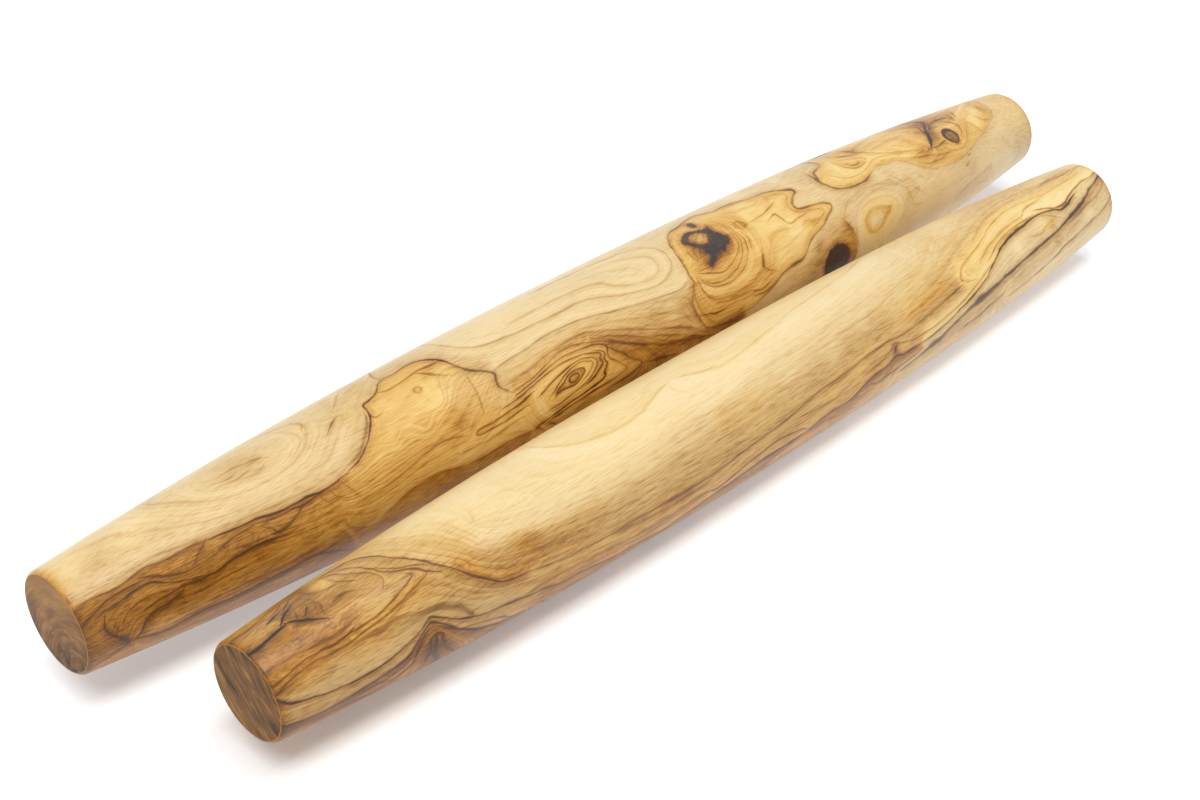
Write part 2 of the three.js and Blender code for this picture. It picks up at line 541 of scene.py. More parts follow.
def olive_wood():
    """Olive wood, turned, sanded and oiled: satin, with a figure read from the pin's attributes."""
    made = bpy.data.materials.new("Olive wood, turned and oiled")
    made.use_nodes = True
    tree = made.node_tree
    tree.nodes.clear()
    place = node(tree, "ShaderNodeTexCoord", out="Object")
    along = node(tree, SPLIT, place, out="X")
    figure = node(tree, ATTRIBUTE, attribute_name="figure", out="Vector")
    tone, gold, growth = node(tree, SPLIT, figure).node.outputs
    noise = noise_patterns(tree, place)
    tone = grain(tree, noise, along, tone, gold, growth)
    tone, brown, black = veins(tree, noise, tone)
    tone, black, char = knots(tree, noise, tone, black)

    # Pale to dark in a greyer and a golden range, then veins, knots and end faces over that
    plain_shade = node(tree, COLOUR_RAMP, tone)
    set_stops(plain_shade, PLAIN_WOOD)
    golden_shade = node(tree, COLOUR_RAMP, tone)
    set_stops(golden_shade, GOLDEN_WOOD)
    shade = node(tree, MIX_COLOUR, gold, plain_shade, golden_shade)
    shade = node(tree, MIX_COLOUR, brown, shade, colour(VEIN_BROWN))
    shade = node(tree, MIX_COLOUR, black, shade, char)
    end_shade, on_end = end_faces(tree, noise)
    shade = node(tree, MIX_COLOUR, on_end, shade, end_shade)

    # Cut fibres scatter light, so the end faces have less sheen than the sides
    sheen = node(tree, MAP_RANGE, on_end, 0.0, 1.0, SIDE_SHEEN, END_SHEEN)
    oil = node(tree, MAP_RANGE, on_end, 0.0, 1.0, SIDE_OIL, END_OIL)
    bump = node(tree, "ShaderNodeBump", {
        "Height": noise["fibre"],
        "Strength": FIBRE_BUMP,
        "Distance": FIBRE_HEIGHT,
    })
    surface = node(tree, "ShaderNodeBsdfPrincipled", {
        "Base Color": shade,
        "Roughness": ROUGHNESS,
        "IOR": WOOD_IOR,
        "Specular IOR Level": sheen,
        "Coat Weight": oil,
        "Coat Roughness": OIL_ROUGHNESS,
        "Normal": bump,
    })
    node(tree, "ShaderNodeOutputMaterial", surface)
    return made


wood = olive_wood()
print(wood.name, "has", len(wood.node_tree.nodes), "nodes")

# %% [markdown]
# ## Turning the two pins
# The frame says where each pin lies. The CAD pins have 48 flat sides, so their box is measured across
# flats. The real pins are round, and the round radius reaches the corners of that polygon.

# %% Turn both pins
CAD_SIDES = 48
TAPER_POWER = 2.35
EDGE_RADIUS = 1.5 * MM
PIN_RINGS = {"Sides": 192, "Taper rings": 225, "Edge rings": 6, "Face rings": 10}
END_DIAMETERS = {"long_pin": 31 * MM, "short_pin": 29.5 * MM}

Pin = namedtuple("Pin", "name length belly end middle")


def pin_from_frame(name):
    """Sizes and middle of one pin, from its CAD box."""
    low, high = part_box(name)
    across_flats = high.y - low.y
    belly = across_flats / math.cos(math.pi / CAD_SIDES)
    return Pin(name, high.x - low.x, belly, END_DIAMETERS[name], (low + high) / 2)


def turn(pin):
    """Object with the turned mesh of one pin, in place, as plain mesh without a modifier."""
    maker = bpy.data.objects.new(pin.name + "_maker", bpy.data.meshes.new("Empty"))
    bpy.context.scene.collection.objects.link(maker)
    modifier = maker.modifiers.new("Turned pin", "NODES")
    modifier.node_group = pin_tree
    values = {
        "Length": pin.length,
        "Belly diameter": pin.belly,
        "End diameter": pin.end,
        "Taper power": TAPER_POWER,
        "Edge radius": EDGE_RADIUS,
        "Middle": pin.middle,
        "Wood": wood,
        **PIN_RINGS,
    }
    for item in pin_tree.interface.items_tree:
        if item.in_out == "INPUT":
            modifier[item.identifier] = values[item.name]
    shaped = maker.evaluated_get(bpy.context.evaluated_depsgraph_get())
    mesh = bpy.data.meshes.new_from_object(shaped)
    mesh.name = pin.name
    bpy.data.objects.remove(maker)
    turned = bpy.data.objects.new(pin.name + "_turned", mesh)
    bpy.context.scene.collection.objects.link(turned)
    return turned


pins = [pin_from_frame(name) for name in END_DIAMETERS]
turned_pins = [turn(pin) for pin in pins]
for turned in turned_pins:
    print(turned.name, len(turned.data.vertices), "vertices,", len(turned.data.polygons), "faces")

# %% [markdown]
# ## How the figure is drawn
# A pin's surface is unrolled like a label: along runs in millimetres from mid-length, and around in degrees
# from the top, positive towards the back. On that sheet the figure is drawn as strokes, each a few
# points joined by a smooth curve. A stroke can be a vein, with a darkness and half a width in millimetres.
# It can say what stain the wood has on each side of it, above and below if it runs to the right, and how
# far growth has come there. Between the strokes stain and growth even out, like ink in wet paper. Painting
# an image would be an alternative, but strokes stay sharp at any size and can be corrected one by one.

# %% Strokes, spots and stains
Stroke = namedtuple("Stroke", "route dark half_width level above below black closed",
                    defaults=(0.0, 0.0, None, None, None, 0.0, False))
Spot = namedtuple("Spot", "along around stain level size", defaults=(None, 3.0))
Knot = namedtuple("Knot", "rim hole", defaults=(None,))
GREY_GOLD = 0.15
WARM_GOLD = 0.42
GOLDEN_GOLD = 0.86


def vein(dark, half_width, *route, **more):
    """Stroke that shows as a dark line."""
    return Stroke(route, dark, half_width, **more)


def flow(*route, **more):
    """Stroke that shows no line, and only says how stain and growth run."""
    return Stroke(route, **more)


def grey(tone):
    """Stain of greyish wood: its tone, from 0 for pale to 1 for dark, and a little gold."""
    return (tone, GREY_GOLD)


def warm(tone):
    """Stain between grey and golden."""
    return (tone, WARM_GOLD)


def golden(tone):
    """Stain of golden heartwood."""
    return (tone, GOLDEN_GOLD)


print("a stroke has", ", ".join(Stroke._fields))

# %% [markdown]
# A smooth curve goes through the points of a stroke. The sheet gets narrower towards the ends of the pin, so
# degrees become millimetres with the radius at that place.

# %% Curves on the unrolled surface
CURVE_STEPS = 6
# The sheet is cut open low on the front, and around counts up from there
FIRST_AROUND = -135


def smooth_route(stroke):
    """Points of a smooth curve through a stroke's own points, as rows of along and around."""
    points = np.array(stroke.route, float)
    if stroke.closed:
        padded = np.concatenate([points[-1:], points, points[:2]])
    else:
        padded = np.concatenate([[2 * points[0] - points[1]], points, [2 * points[-1] - points[-2]]])
    step = np.arange(CURVE_STEPS)[:, None] / CURVE_STEPS
    spans = []
    for before, start, end, after in zip(padded, padded[1:], padded[2:], padded[3:]):
        bend = 2 * before - 5 * start + 4 * end - after
        twist = 3 * start - before - 3 * end + after
        spans.append(start + 0.5 * step * (end - before + step * (bend + step * twist)))
    return np.concatenate(spans + [padded[-2:-1]])


def half_length(pin):
    """Half the length of a pin in mm."""
    return pin.length / 2 / MM


def radius_at(pin, along):
    """Radius in mm at a distance in mm from mid-length."""
    belly = pin.belly / 2 / MM
    taper = belly - pin.end / 2 / MM
    return belly - taper * np.clip(np.abs(along) / half_length(pin), 0, 1) ** TAPER_POWER


def unrolled(pin, points):
    """Places on the unrolled surface in mm, from rows of along in mm and around in degrees."""
    arc = np.radians(points[:, 1]) * radius_at(pin, points[:, 0])
    return np.stack([points[:, 0], arc], axis=1)


for pin in pins:
    print(pin.name, "has a radius of", round(radius_at(pin, 100), 2), "mm at 100 mm from its middle")

# %% [markdown]
# Distances are needed for the veins and the rims of knots. Each vertex of the pin finds the nearest point
# of a stroke, and the side of the stroke that it lies on. A long stroke is taken in short pieces, so that
# each piece is compared only with the vertices near it.

# %% Distance from a stroke
PIECE_STEPS = 12
# Keeps a division by a length of nothing from failing
TINY = 1e-9


def distance_from(route, places, reach):
    """Distance in mm of places from a route, positive on its left, and how far along the route they are."""
    distance = np.full(len(places), reach)
    passed = np.zeros(len(places))
    lengths = np.linalg.norm(np.diff(route, axis=0), axis=1)
    starts = np.concatenate([[0], np.cumsum(lengths)])
    for first in range(0, len(route) - 1, PIECE_STEPS):
        piece = route[first:first + PIECE_STEPS + 1]
        inside = (places > piece.min(axis=0) - reach) & (places < piece.max(axis=0) + reach)
        near = np.flatnonzero(inside.all(axis=1))
        if len(near) == 0:
            continue
        span = np.diff(piece, axis=0)
        length = lengths[first:first + PIECE_STEPS]
        offset = places[near, None] - piece[:-1]
        share = np.clip((offset * span).sum(axis=2) / np.maximum(length ** 2, TINY), 0, 1)
        gap = np.linalg.norm(offset - share[..., None] * span, axis=2)
        nearest = gap.argmin(axis=1)
        row = np.arange(len(near))
        cross = span[nearest, 0] * offset[row, nearest, 1] - span[nearest, 1] * offset[row, nearest, 0]
        found = np.where(cross >= 0, 1, -1) * gap[row, nearest]
        closer = np.abs(found) < np.abs(distance[near])
        distance[near[closer]] = found[closer]
        here = starts[first + nearest] + share[row, nearest] * length[nearest]
        passed[near[closer]] = here[closer]
    return distance, passed


def inside_of(route, places):
    """True for the places inside a closed route."""
    crossings = np.zeros(len(places), bool)
    for (x0, y0), (x1, y1) in zip(route, route[1:]):
        if y0 == y1:
            continue
        between = (places[:, 1] < y0) != (places[:, 1] < y1)
        crossing = x0 + (places[:, 1] - y0) * (x1 - x0) / (y1 - y0)
        crossings ^= between & (places[:, 0] < crossing)
    return crossings


print("distances are measured on pieces of", PIECE_STEPS, "steps")

# %% [markdown]
# Veins that run close together can't share an attribute, because each vertex keeps the distance to one vein
# in it. So veins are laid in layers: each goes to the first layer in which no other vein is near.

# %% Veins in layers, and knots
# A vein is drawn out to so many half widths, and at least so many mm, and fades over the last part of that
VEIN_REACH = 5.5
LEAST_REACH = 2.0
VEIN_FADE = 0.4
FAR_FROM_VEIN = 12.0
# A vein that ends on the pin, and not at its end face, gets narrower over its last mm
VEIN_TIP = 5.0
TIP_SHARE = 0.1
END_MARGIN = 1.0
KNOT_REACH = 6.0


def vein_layers(pin, strokes, places):
    """Rows of distance in half widths, darkness and blackness for each layer of veins."""
    layers = np.zeros((VEIN_LAYERS, len(places), 3), np.float32)
    layers[:, :, 0] = FAR_FROM_VEIN
    taken = np.zeros((VEIN_LAYERS, len(places)), bool)
    for stroke in strokes:
        if stroke.dark == 0:
            continue
        route = unrolled(pin, smooth_route(stroke))
        reach = max(VEIN_REACH * stroke.half_width, LEAST_REACH)
        distance, passed = distance_from(route, places, reach)
        near = np.abs(distance) < reach
        total = np.linalg.norm(np.diff(route, axis=0), axis=1).sum()
        tip = np.ones(len(places))
        for end, from_end in ((route[0], passed), (route[-1], total - passed)):
            if not stroke.closed and abs(end[0]) < half_length(pin) - END_MARGIN:
                tip = np.minimum(tip, from_end / VEIN_TIP)
        half_width = stroke.half_width * np.sqrt(np.clip(tip, TIP_SHARE, 1))
        free = [i for i in range(VEIN_LAYERS) if not (taken[i] & near).any()]
        layer = free[0] if free else VEIN_LAYERS - 1
        if not free:
            print("no free layer for a vein at", stroke.route[0])
        offset = np.clip(distance / half_width, -FAR_FROM_VEIN, FAR_FROM_VEIN)
        fade = np.clip((reach - np.abs(distance)) / (VEIN_FADE * reach), 0, 1)
        rows = np.stack([offset, stroke.dark * fade, stroke.black * fade], axis=1)
        layers[layer, near] = rows[near]
        taken[layer] |= near
    print(pin.name, "uses", int(taken.any(axis=1).sum()), "layers of veins")
    return layers


def knot_rims(pin, outlines, places):
    """Distance in mm from the nearest rim of a knot, negative inside the knot."""
    nearest = np.full(len(places), KNOT_REACH)
    for knot in outlines:
        depth = np.full(len(places), -KNOT_REACH)
        for outline, sign in ((knot.rim, 1), (knot.hole, -1)):
            if outline is None:
                continue
            route = unrolled(pin, smooth_route(Stroke(outline, closed=True)))
            distance, _ = distance_from(route, places, KNOT_REACH)
            distance = np.where(inside_of(route, places), -1, 1) * np.abs(distance)
            depth = np.maximum(depth, sign * distance)
        nearest = np.minimum(nearest, depth)
    return nearest.astype(np.float32)


print("a vein 1 mm wide is drawn out to", VEIN_REACH / 2, "mm on each side")

# %% [markdown]
# Stain and growth are spread on a grid over the unrolled surface. Each cell becomes the mean of its four
# neighbours, pulled towards what was put there: hard beside a stroke, and softly at a spot. This is done
# first on a coarse grid and then on finer ones, which carries the values across the sheet quickly. Around
# the pin the grid closes on itself.

# %% Settle a grid
GRID = (640, 192)
COARSEST = 20
SETTLE_STEPS = 60


def settle(total, weight):
    """Fills a grid from what was put on it, given as sums of values and of their pulls."""
    grids = [(total, weight)]
    while grids[-1][0].shape[0] > COARSEST:
        halves = []
        for values in grids[-1]:
            rows, columns = values.shape
            halves.append(values.reshape(rows // 2, 2, columns // 2, 2).sum(axis=(1, 3)))
        grids.append(tuple(halves))
    field = None
    for values, weights in reversed(grids):
        if field is None:
            field = np.full(values.shape, values.sum() / weights.sum())
        else:
            field = field.repeat(2, axis=0).repeat(2, axis=1)
        for _ in range(SETTLE_STEPS):
            before = np.concatenate([field[:1], field[:-1]])
            after = np.concatenate([field[1:], field[-1:]])
            around = np.roll(field, 1, axis=1) + np.roll(field, -1, axis=1)
            field = ((before + after + around) / 4 + values) / (1 + weights)
    return field


print("grid of", GRID[0], "by", GRID[1], "cells")

# %% [markdown]
# Three grids are filled, for tone, gold and growth. A stroke puts its growth on its own course, and its two
# stains a little to the left and to the right of it. A spot pulls on a small round patch.

# %% Put strokes and spots on the grids
FIELDS = ("tone", "gold", "growth")
TONE, GOLD, GROWTH = range(len(FIELDS))
SIDE_GAP = 1.2
STROKE_PULL = 1000.0
SPOT_PULL = 0.12


def grid_places(pin, points):
    """Columns and rows of the grid, with fractions, for points of along and around."""
    columns = (points[:, 0] / half_length(pin) + 1) / 2 * (GRID[0] - 1)
    rows = (points[:, 1] - FIRST_AROUND) / 360 * GRID[1]
    return columns, rows


def put_strokes(pin, strokes, totals, weights):
    """Adds the growth and the stains of strokes to the sums of values and of pulls."""

    def put(field, points, values):
        columns, rows = grid_places(pin, points)
        columns = np.round(columns).astype(int)
        rows = np.round(rows).astype(int) % GRID[1]
        on_pin = (columns >= 0) & (columns < GRID[0])
        cells = (columns[on_pin], rows[on_pin])
        np.add.at(totals[field], cells, STROKE_PULL * np.broadcast_to(values, len(points))[on_pin])
        np.add.at(weights[field], cells, STROKE_PULL)

    for stroke in strokes:
        course = smooth_route(stroke)
        if stroke.level is not None:
            first_level, last_level = np.broadcast_to(stroke.level, 2)
            put(GROWTH, course, np.linspace(first_level, last_level, len(course)))
        heading = np.gradient(unrolled(pin, course), axis=0)
        heading /= np.maximum(np.linalg.norm(heading, axis=1), TINY)[:, None]
        turn_left = np.degrees(heading[:, 0] / radius_at(pin, course[:, 0]))
        left = np.stack([-heading[:, 1], turn_left], axis=1)
        for stain, side in ((stroke.above, 1), (stroke.below, -1)):
            for field, value in enumerate(stain or ()):
                put(field, course + left * side * SIDE_GAP, value)


def put_spots(pin, spots, totals, weights):
    """Adds the stains and the growth of spots to the sums of values and of pulls."""
    grid_along = np.linspace(-half_length(pin), half_length(pin), GRID[0])[:, None]
    grid_around = (FIRST_AROUND + 360 * np.arange(GRID[1]) / GRID[1])[None, :]
    for spot in spots:
        turned_by = (grid_around - spot.around + 180) % 360 - 180
        arc = np.radians(turned_by) * radius_at(pin, spot.along)
        distance = np.hypot(grid_along - spot.along, arc) / spot.size
        pull = SPOT_PULL * np.clip(1 - distance ** 2, 0, 1)
        for field, value in enumerate((*spot.stain, spot.level)):
            if value is not None:
                totals[field] += pull * value
                weights[field] += pull


def figure_fields(pin, strokes, spots, points):
    """Rows of tone, gold and growth at points of along and around."""
    totals = np.zeros((len(FIELDS), *GRID))
    weights = np.zeros((len(FIELDS), *GRID))
    put_strokes(pin, strokes, totals, weights)
    put_spots(pin, spots, totals, weights)
    columns, rows = grid_places(pin, points)
    column = np.clip(columns.astype(int), 0, GRID[0] - 2)
    row = rows.astype(int) % GRID[1]
    next_row = (row + 1) % GRID[1]
    column_share = np.clip(columns - column, 0, 1)
    row_share = rows % 1
    sampled = []
    for total, weight in zip(totals, weights):
        sheet = settle(total, weight)
        near = sheet[column, row] * (1 - row_share) + sheet[column, next_row] * row_share
        far = sheet[column + 1, row] * (1 - row_share) + sheet[column + 1, next_row] * row_share
        sampled.append(near * (1 - column_share) + far * column_share)
    return np.stack(sampled, axis=1).astype(np.float32)


print("fields:", ", ".join(FIELDS))

# %% [markdown]
# ## Figure of the long pin
# The strokes below are read from left to right, as the pin lies. A golden heart with a dark edge fills its
# left quarter, then comes grey fibre with an eye in it, then a golden island with a black knot, a second
# golden island that runs to the right end, and a black branch. The side that faces away has long plain
# veins of the same kind.

# %% Long pin: the heart at the left
LONG_HEART = [
    vein(0.55, 0.35, (-225, -48), (-221, -45), (-217, -45), (-213, -46.5), (-209, -45.5), (-203, -42.5),
        (-200, -44), (-196, -45.5), (-190, -44.5), (-184, -46.5), level=9, above=grey(0.31),
        below=golden(0.65)),
    vein(0.85, 0.42, (-184, -46.5), (-176, -48.5), (-170, -50), (-165, -52), (-160, -53.5), (-155, -53.5),
        (-152, -53), (-148, -54), (-144, -53.5), (-138, -51), level=9, above=grey(0.28),
        below=golden(0.48)),
    vein(0.75, 0.4, (-138, -51), (-133, -47), (-128, -39.5), (-124, -30), (-121, -20), (-120, -10),
        (-117, -8), (-113, -4), (-110, 3), (-107, 6), (-103, 5), (-98, 7), (-94, 5.5), (-91, 1),
        (-88, -8), (-86, -20), level=9, above=grey(0.3), below=golden(0.28)),
    vein(0.6, 0.6, (-88, -8), (-86, -20), (-83, -27), (-79.5, -32), (-77.5, -36), (-78, -41),
        (-78.5, -46), (-77.5, -50), (-75.5, -54), level=(9, 20), above=grey(0.32), below=warm(0.3)),
    vein(0.65, 0.3, (-225, -65), (-222, -60), (-219, -56), (-216, -52.5), (-213, -51.5), (-209, -51),
        (-205, -51), level=(12, 11)),
    vein(0.6, 0.3, (-221, -64), (-218, -61), (-214, -60), (-211, -57.5), (-208, -56), (-204.5, -55.5),
        (-202, -58), (-200, -62), (-197, -66), (-193, -69), (-189, -71.5), level=(13, 17)),
    vein(0.4, 0.5, (-206, -48), (-202, -52), (-199, -57), (-196, -60), (-192, -62), (-188, -61.5),
        level=(11, 14)),
    vein(0.35, 0.45, (-214, -77), (-212, -71.5), (-208, -67.5), (-204, -67), (-200, -69.5), (-196, -71.5),
        level=17),
    vein(0.8, 0.4, (-208, -77), (-205, -74.5), (-200, -73), (-195, -71.5), (-192, -73.5), (-185, -73.5),
        (-182, -71), (-178, -69.5), (-172, -69), (-166, -70), level=17, above=golden(0.61),
        below=golden(0.62)),
    vein(0.35, 0.35, (-170, -69.5), (-160, -71.5), (-150, -71), (-143, -69), level=(17, 15)),
    vein(0.8, 0.6, (-211.5, -102), (-209.5, -97), (-208.5, -90), (-206.5, -84), (-204, -81),
        (-200, -79.5), (-197, -77), (-195, -73), level=(21, 17), above=golden(0.58), below=golden(0.68)),
    vein(0.5, 0.7, (-211.5, -102), (-208, -106), (-205, -109), (-202, -109), (-196, -107), (-190, -105),
        (-184, -106), (-178, -106), (-172, -105), (-166, -103.5), (-160, -103), (-152, -102), (-146, -99),
        level=21, above=golden(0.52), below=golden(0.68)),
    vein(0.6, 0.8, (-153, -103), (-149, -107), (-145, -112), (-140, -118)),
    vein(0.6, 0.5, (-218, -65), (-219, -71), (-219, -79), (-217.5, -86), (-216, -92), (-213.5, -103),
        (-216, -108), (-221, -115), (-225, -124), level=(13, 21), above=golden(0.67), below=golden(0.64)),
    vein(0.4, 0.4, (-218, -86), (-215, -85), (-213, -84)),
    vein(0.15, 0.7, (-192, -90), (-180, -88), (-168, -90), (-155, -87), (-143, -82), level=19,
        above=golden(0.49), below=golden(0.38)),
    vein(0.2, 0.7, (-190, -98), (-178, -97), (-165, -98), (-152, -96), level=20),
]
LONG_HEART_SPOTS = [
    Spot(-197, -52, golden(0.58)), Spot(-193, -66, golden(0.52)), Spot(-208, -62, golden(0.54)),
    Spot(-203, -70, golden(0.52)), Spot(-211, -86, golden(0.54)), Spot(-202, -96, golden(0.42), size=4),
    Spot(-190, -79, golden(0.67), size=4), Spot(-172, -78, golden(0.65), size=4),
    Spot(-150, -86, golden(0.25)), Spot(-223, -85, golden(0.57)), Spot(-219, -100, golden(0.59)),
]
print(len(LONG_HEART), "strokes at the left of the long pin")

# %% [markdown]
# Where the heart's veins crowd together, the amber wood between them is mottled with short brown marks.

# %% Long pin: marks in the heart
LONG_MARKS = [
    vein(0.55, 0.5, (-190.5, -59), (-188.5, -54), (-186.5, -50), (-185, -47)),
    vein(0.5, 0.35, (-188, -62), (-184, -60), (-181, -57), (-178, -55), (-174, -53.5), (-170, -53),
        (-166, -55), (-160, -56), (-155, -56.5), level=(14, 10)),
    vein(0.4, 0.5, (-173, -55), (-171.5, -59), (-172.5, -63)),
    vein(0.5, 0.5, (-168, -58), (-166, -62), (-164.5, -67)),
    vein(0.5, 0.7, (-166, -67), (-162, -66), (-159, -64), (-156.5, -61), (-155, -58), (-151, -57)),
    vein(0.7, 0.45, (-159, -55), (-154, -57), (-150, -55)),
    vein(0.35, 0.4, (-148.5, -58), (-147, -63), (-145.5, -68)),
    vein(0.3, 0.4, (-145, -57), (-144, -62), (-141, -67)),
    vein(0.25, 0.5, (-141, -55), (-139, -62), (-137, -70)),
    vein(0.4, 0.4, (-180, -62), (-176, -64), (-172, -66), (-168, -66)),
    vein(0.35, 0.4, (-183, -66), (-178, -67), (-174, -66)),
    vein(0.4, 0.8, (-136, -46), (-131, -42), (-127, -34), (-124, -26), (-122, -18)),
    vein(0.45, 0.4, (-121, -18), (-120, -24), (-117.5, -23)),
    vein(0.5, 0.4, (-114, -4), (-110, -8), (-104, -7), (-98, -5), (-94, -6), (-89, -6)),
    vein(0.45, 0.8, (-98, -7), (-94, -16), (-91, -21)),
    vein(0.3, 0.4, (-104, -19), (-102, -18), (-101.5, -21), (-103, -23), closed=True),
    vein(0.4, 0.4, (-86, -30), (-86.5, -40), (-87, -48), (-87.5, -57)),
    vein(0.5, 0.35, (-107.5, 5), (-108, 14), (-106, 24), (-104, 33)),
    vein(0.35, 0.4, (-140, -75), (-132, -74), (-122, -71), (-112, -65), (-104, -63), (-96, -67),
        level=(15, 14), above=golden(0.36), below=golden(0.36)),
    vein(0.35, 0.5, (-100, -77), (-90, -78), (-82, -76), (-75, -74), level=(18, 20), above=golden(0.23),
        below=golden(0.19)),
    vein(0.4, 0.45, (-130, -96), (-120, -86), (-110, -83), (-100, -88), (-92, -89), (-86, -88),
        (-80, -87), (-72, -88), level=19, above=golden(0.29), below=golden(0.49)),
]
LONG_MARK_SPOTS = [
    Spot(-220, 5, warm(0.12), size=6), Spot(-213, -25, grey(0.28), size=6),
    Spot(-200, 0, warm(0.08), size=6), Spot(-112, -18, golden(0.22), level=9, size=4),
    Spot(-100, -32, golden(0.14), level=9.3, size=4), Spot(-120, -45, golden(0.24), level=9.6),
    Spot(-108, -48, golden(0.26), level=10, size=4), Spot(-97, -57, golden(0.52)),
    Spot(-95, -36, warm(0.24)), Spot(-90, -66, golden(0.32)), Spot(-118, -94, golden(0.33)),
    Spot(-163, -64, golden(0.58)), Spot(-147, -62, golden(0.44)), Spot(-128, -62, golden(0.3)),
]
print(len(LONG_MARKS), "marks in the heart")

# %% [markdown]
# Above the heart the wood is pale. Its growth lines turn in a swirl there, and farther right they run out
# in a long rounded tongue. A stroke without darkness is no vein. It only says how growth and stain run.

# %% Long pin: pale swirl and tongue
LONG_SWIRL = [
    vein(0.12, 0.6, (-190, 30), (-188, 10), (-182, -8), (-176, -20), (-168, -26), (-155, -27),
        (-146, -20), (-141, -8), (-138, 5), (-141, 14), (-150, 22), level=4, above=grey(0.18),
        below=grey(0.2)),
    flow((-177, 2), (-172, 10), (-158, 12), (-148, 6), (-147, -6), (-152, -17), (-164, -21), (-174, -12),
        level=2, closed=True),
    vein(0.3, 0.35, (-174, 3), (-170, -1), (-165, 0), (-161, -3)),
    vein(0.3, 0.35, (-173, -5), (-169, -8), (-165, -6)),
    vein(0.3, 0.4, (-163, -5), (-158, -4), (-155, -8)),
    vein(0.3, 0.35, (-171, -11), (-166, -13), (-162, -11)),
    vein(0.3, 0.35, (-165, -16), (-160, -17), (-157, -13)),
    vein(0.4, 0.6, (-139, 9), (-138.5, 4), (-140, -1)),
    vein(0.18, 0.5, (-145, 10), (-143, 0), (-143, -10), (-147, -18)),
    vein(0.55, 0.5, (-135.5, -17), (-133, -12), (-130, -8)),
    vein(0.3, 0.5, (-127, 3), (-124, 10), (-121, 18)),
    flow((-128, -12), (-123, 0), (-117, 12), (-112, 26), level=7, above=grey(0.28), below=warm(0.3)),
    vein(0.1, 0.5, (-205, 5), (-196, -14), (-184, -30), (-170, -38), (-155, -40), (-142, -36),
        (-134, -24), level=7, above=grey(0.22), below=grey(0.22)),
    vein(0.25, 0.35, (-225, -38), (-212, -40), (-200, -38), (-190, -41), (-176, -44), (-160, -48),
        (-148, -49), level=8.3),
    vein(0.3, 0.45, (-84, 40), (-83, 15), (-80, -3), (-74, -12), (-62, -16), (-45, -17.5), (-33, -17),
        (-25, -22), (-18, -28), (-10, -32), (-3, -34), (3, -31.5), (8, -24), (10, -12), (9, -2), (4, 7),
        (-4, 12), (-16, 16), (-40, 18), level=6, above=grey(0.16), below=grey(0.18)),
    vein(0.2, 0.5, (-60, -6), (-40, -5), (-28, -6), (-21, -10), (-17, -19), (-9, -26), (0, -26), (4, -16),
        (2, -4), (-8, 4), level=4),
    vein(0.1, 0.5, (-40, 4), (-20, 1), (-8, -8), (-4, -15), level=2.5),
]
LONG_SWIRL_SPOTS = [
    Spot(-161, -6, grey(0.3), size=5), Spot(-122, 10, warm(0.22)), Spot(-112, 30, grey(0.22)),
    Spot(-180, -36, grey(0.24), size=5), Spot(-60, 12, warm(0.1)), Spot(-30, 28, grey(0.08), size=5),
]
print(len(LONG_SWIRL), "strokes at the swirl and the tongue")

# %% [markdown]
# The eye is where a twig grew. Thin rings lie close about it, drawn out to a point on both sides, and the
# wood that flows past it on the right is pressed together to a brown band.

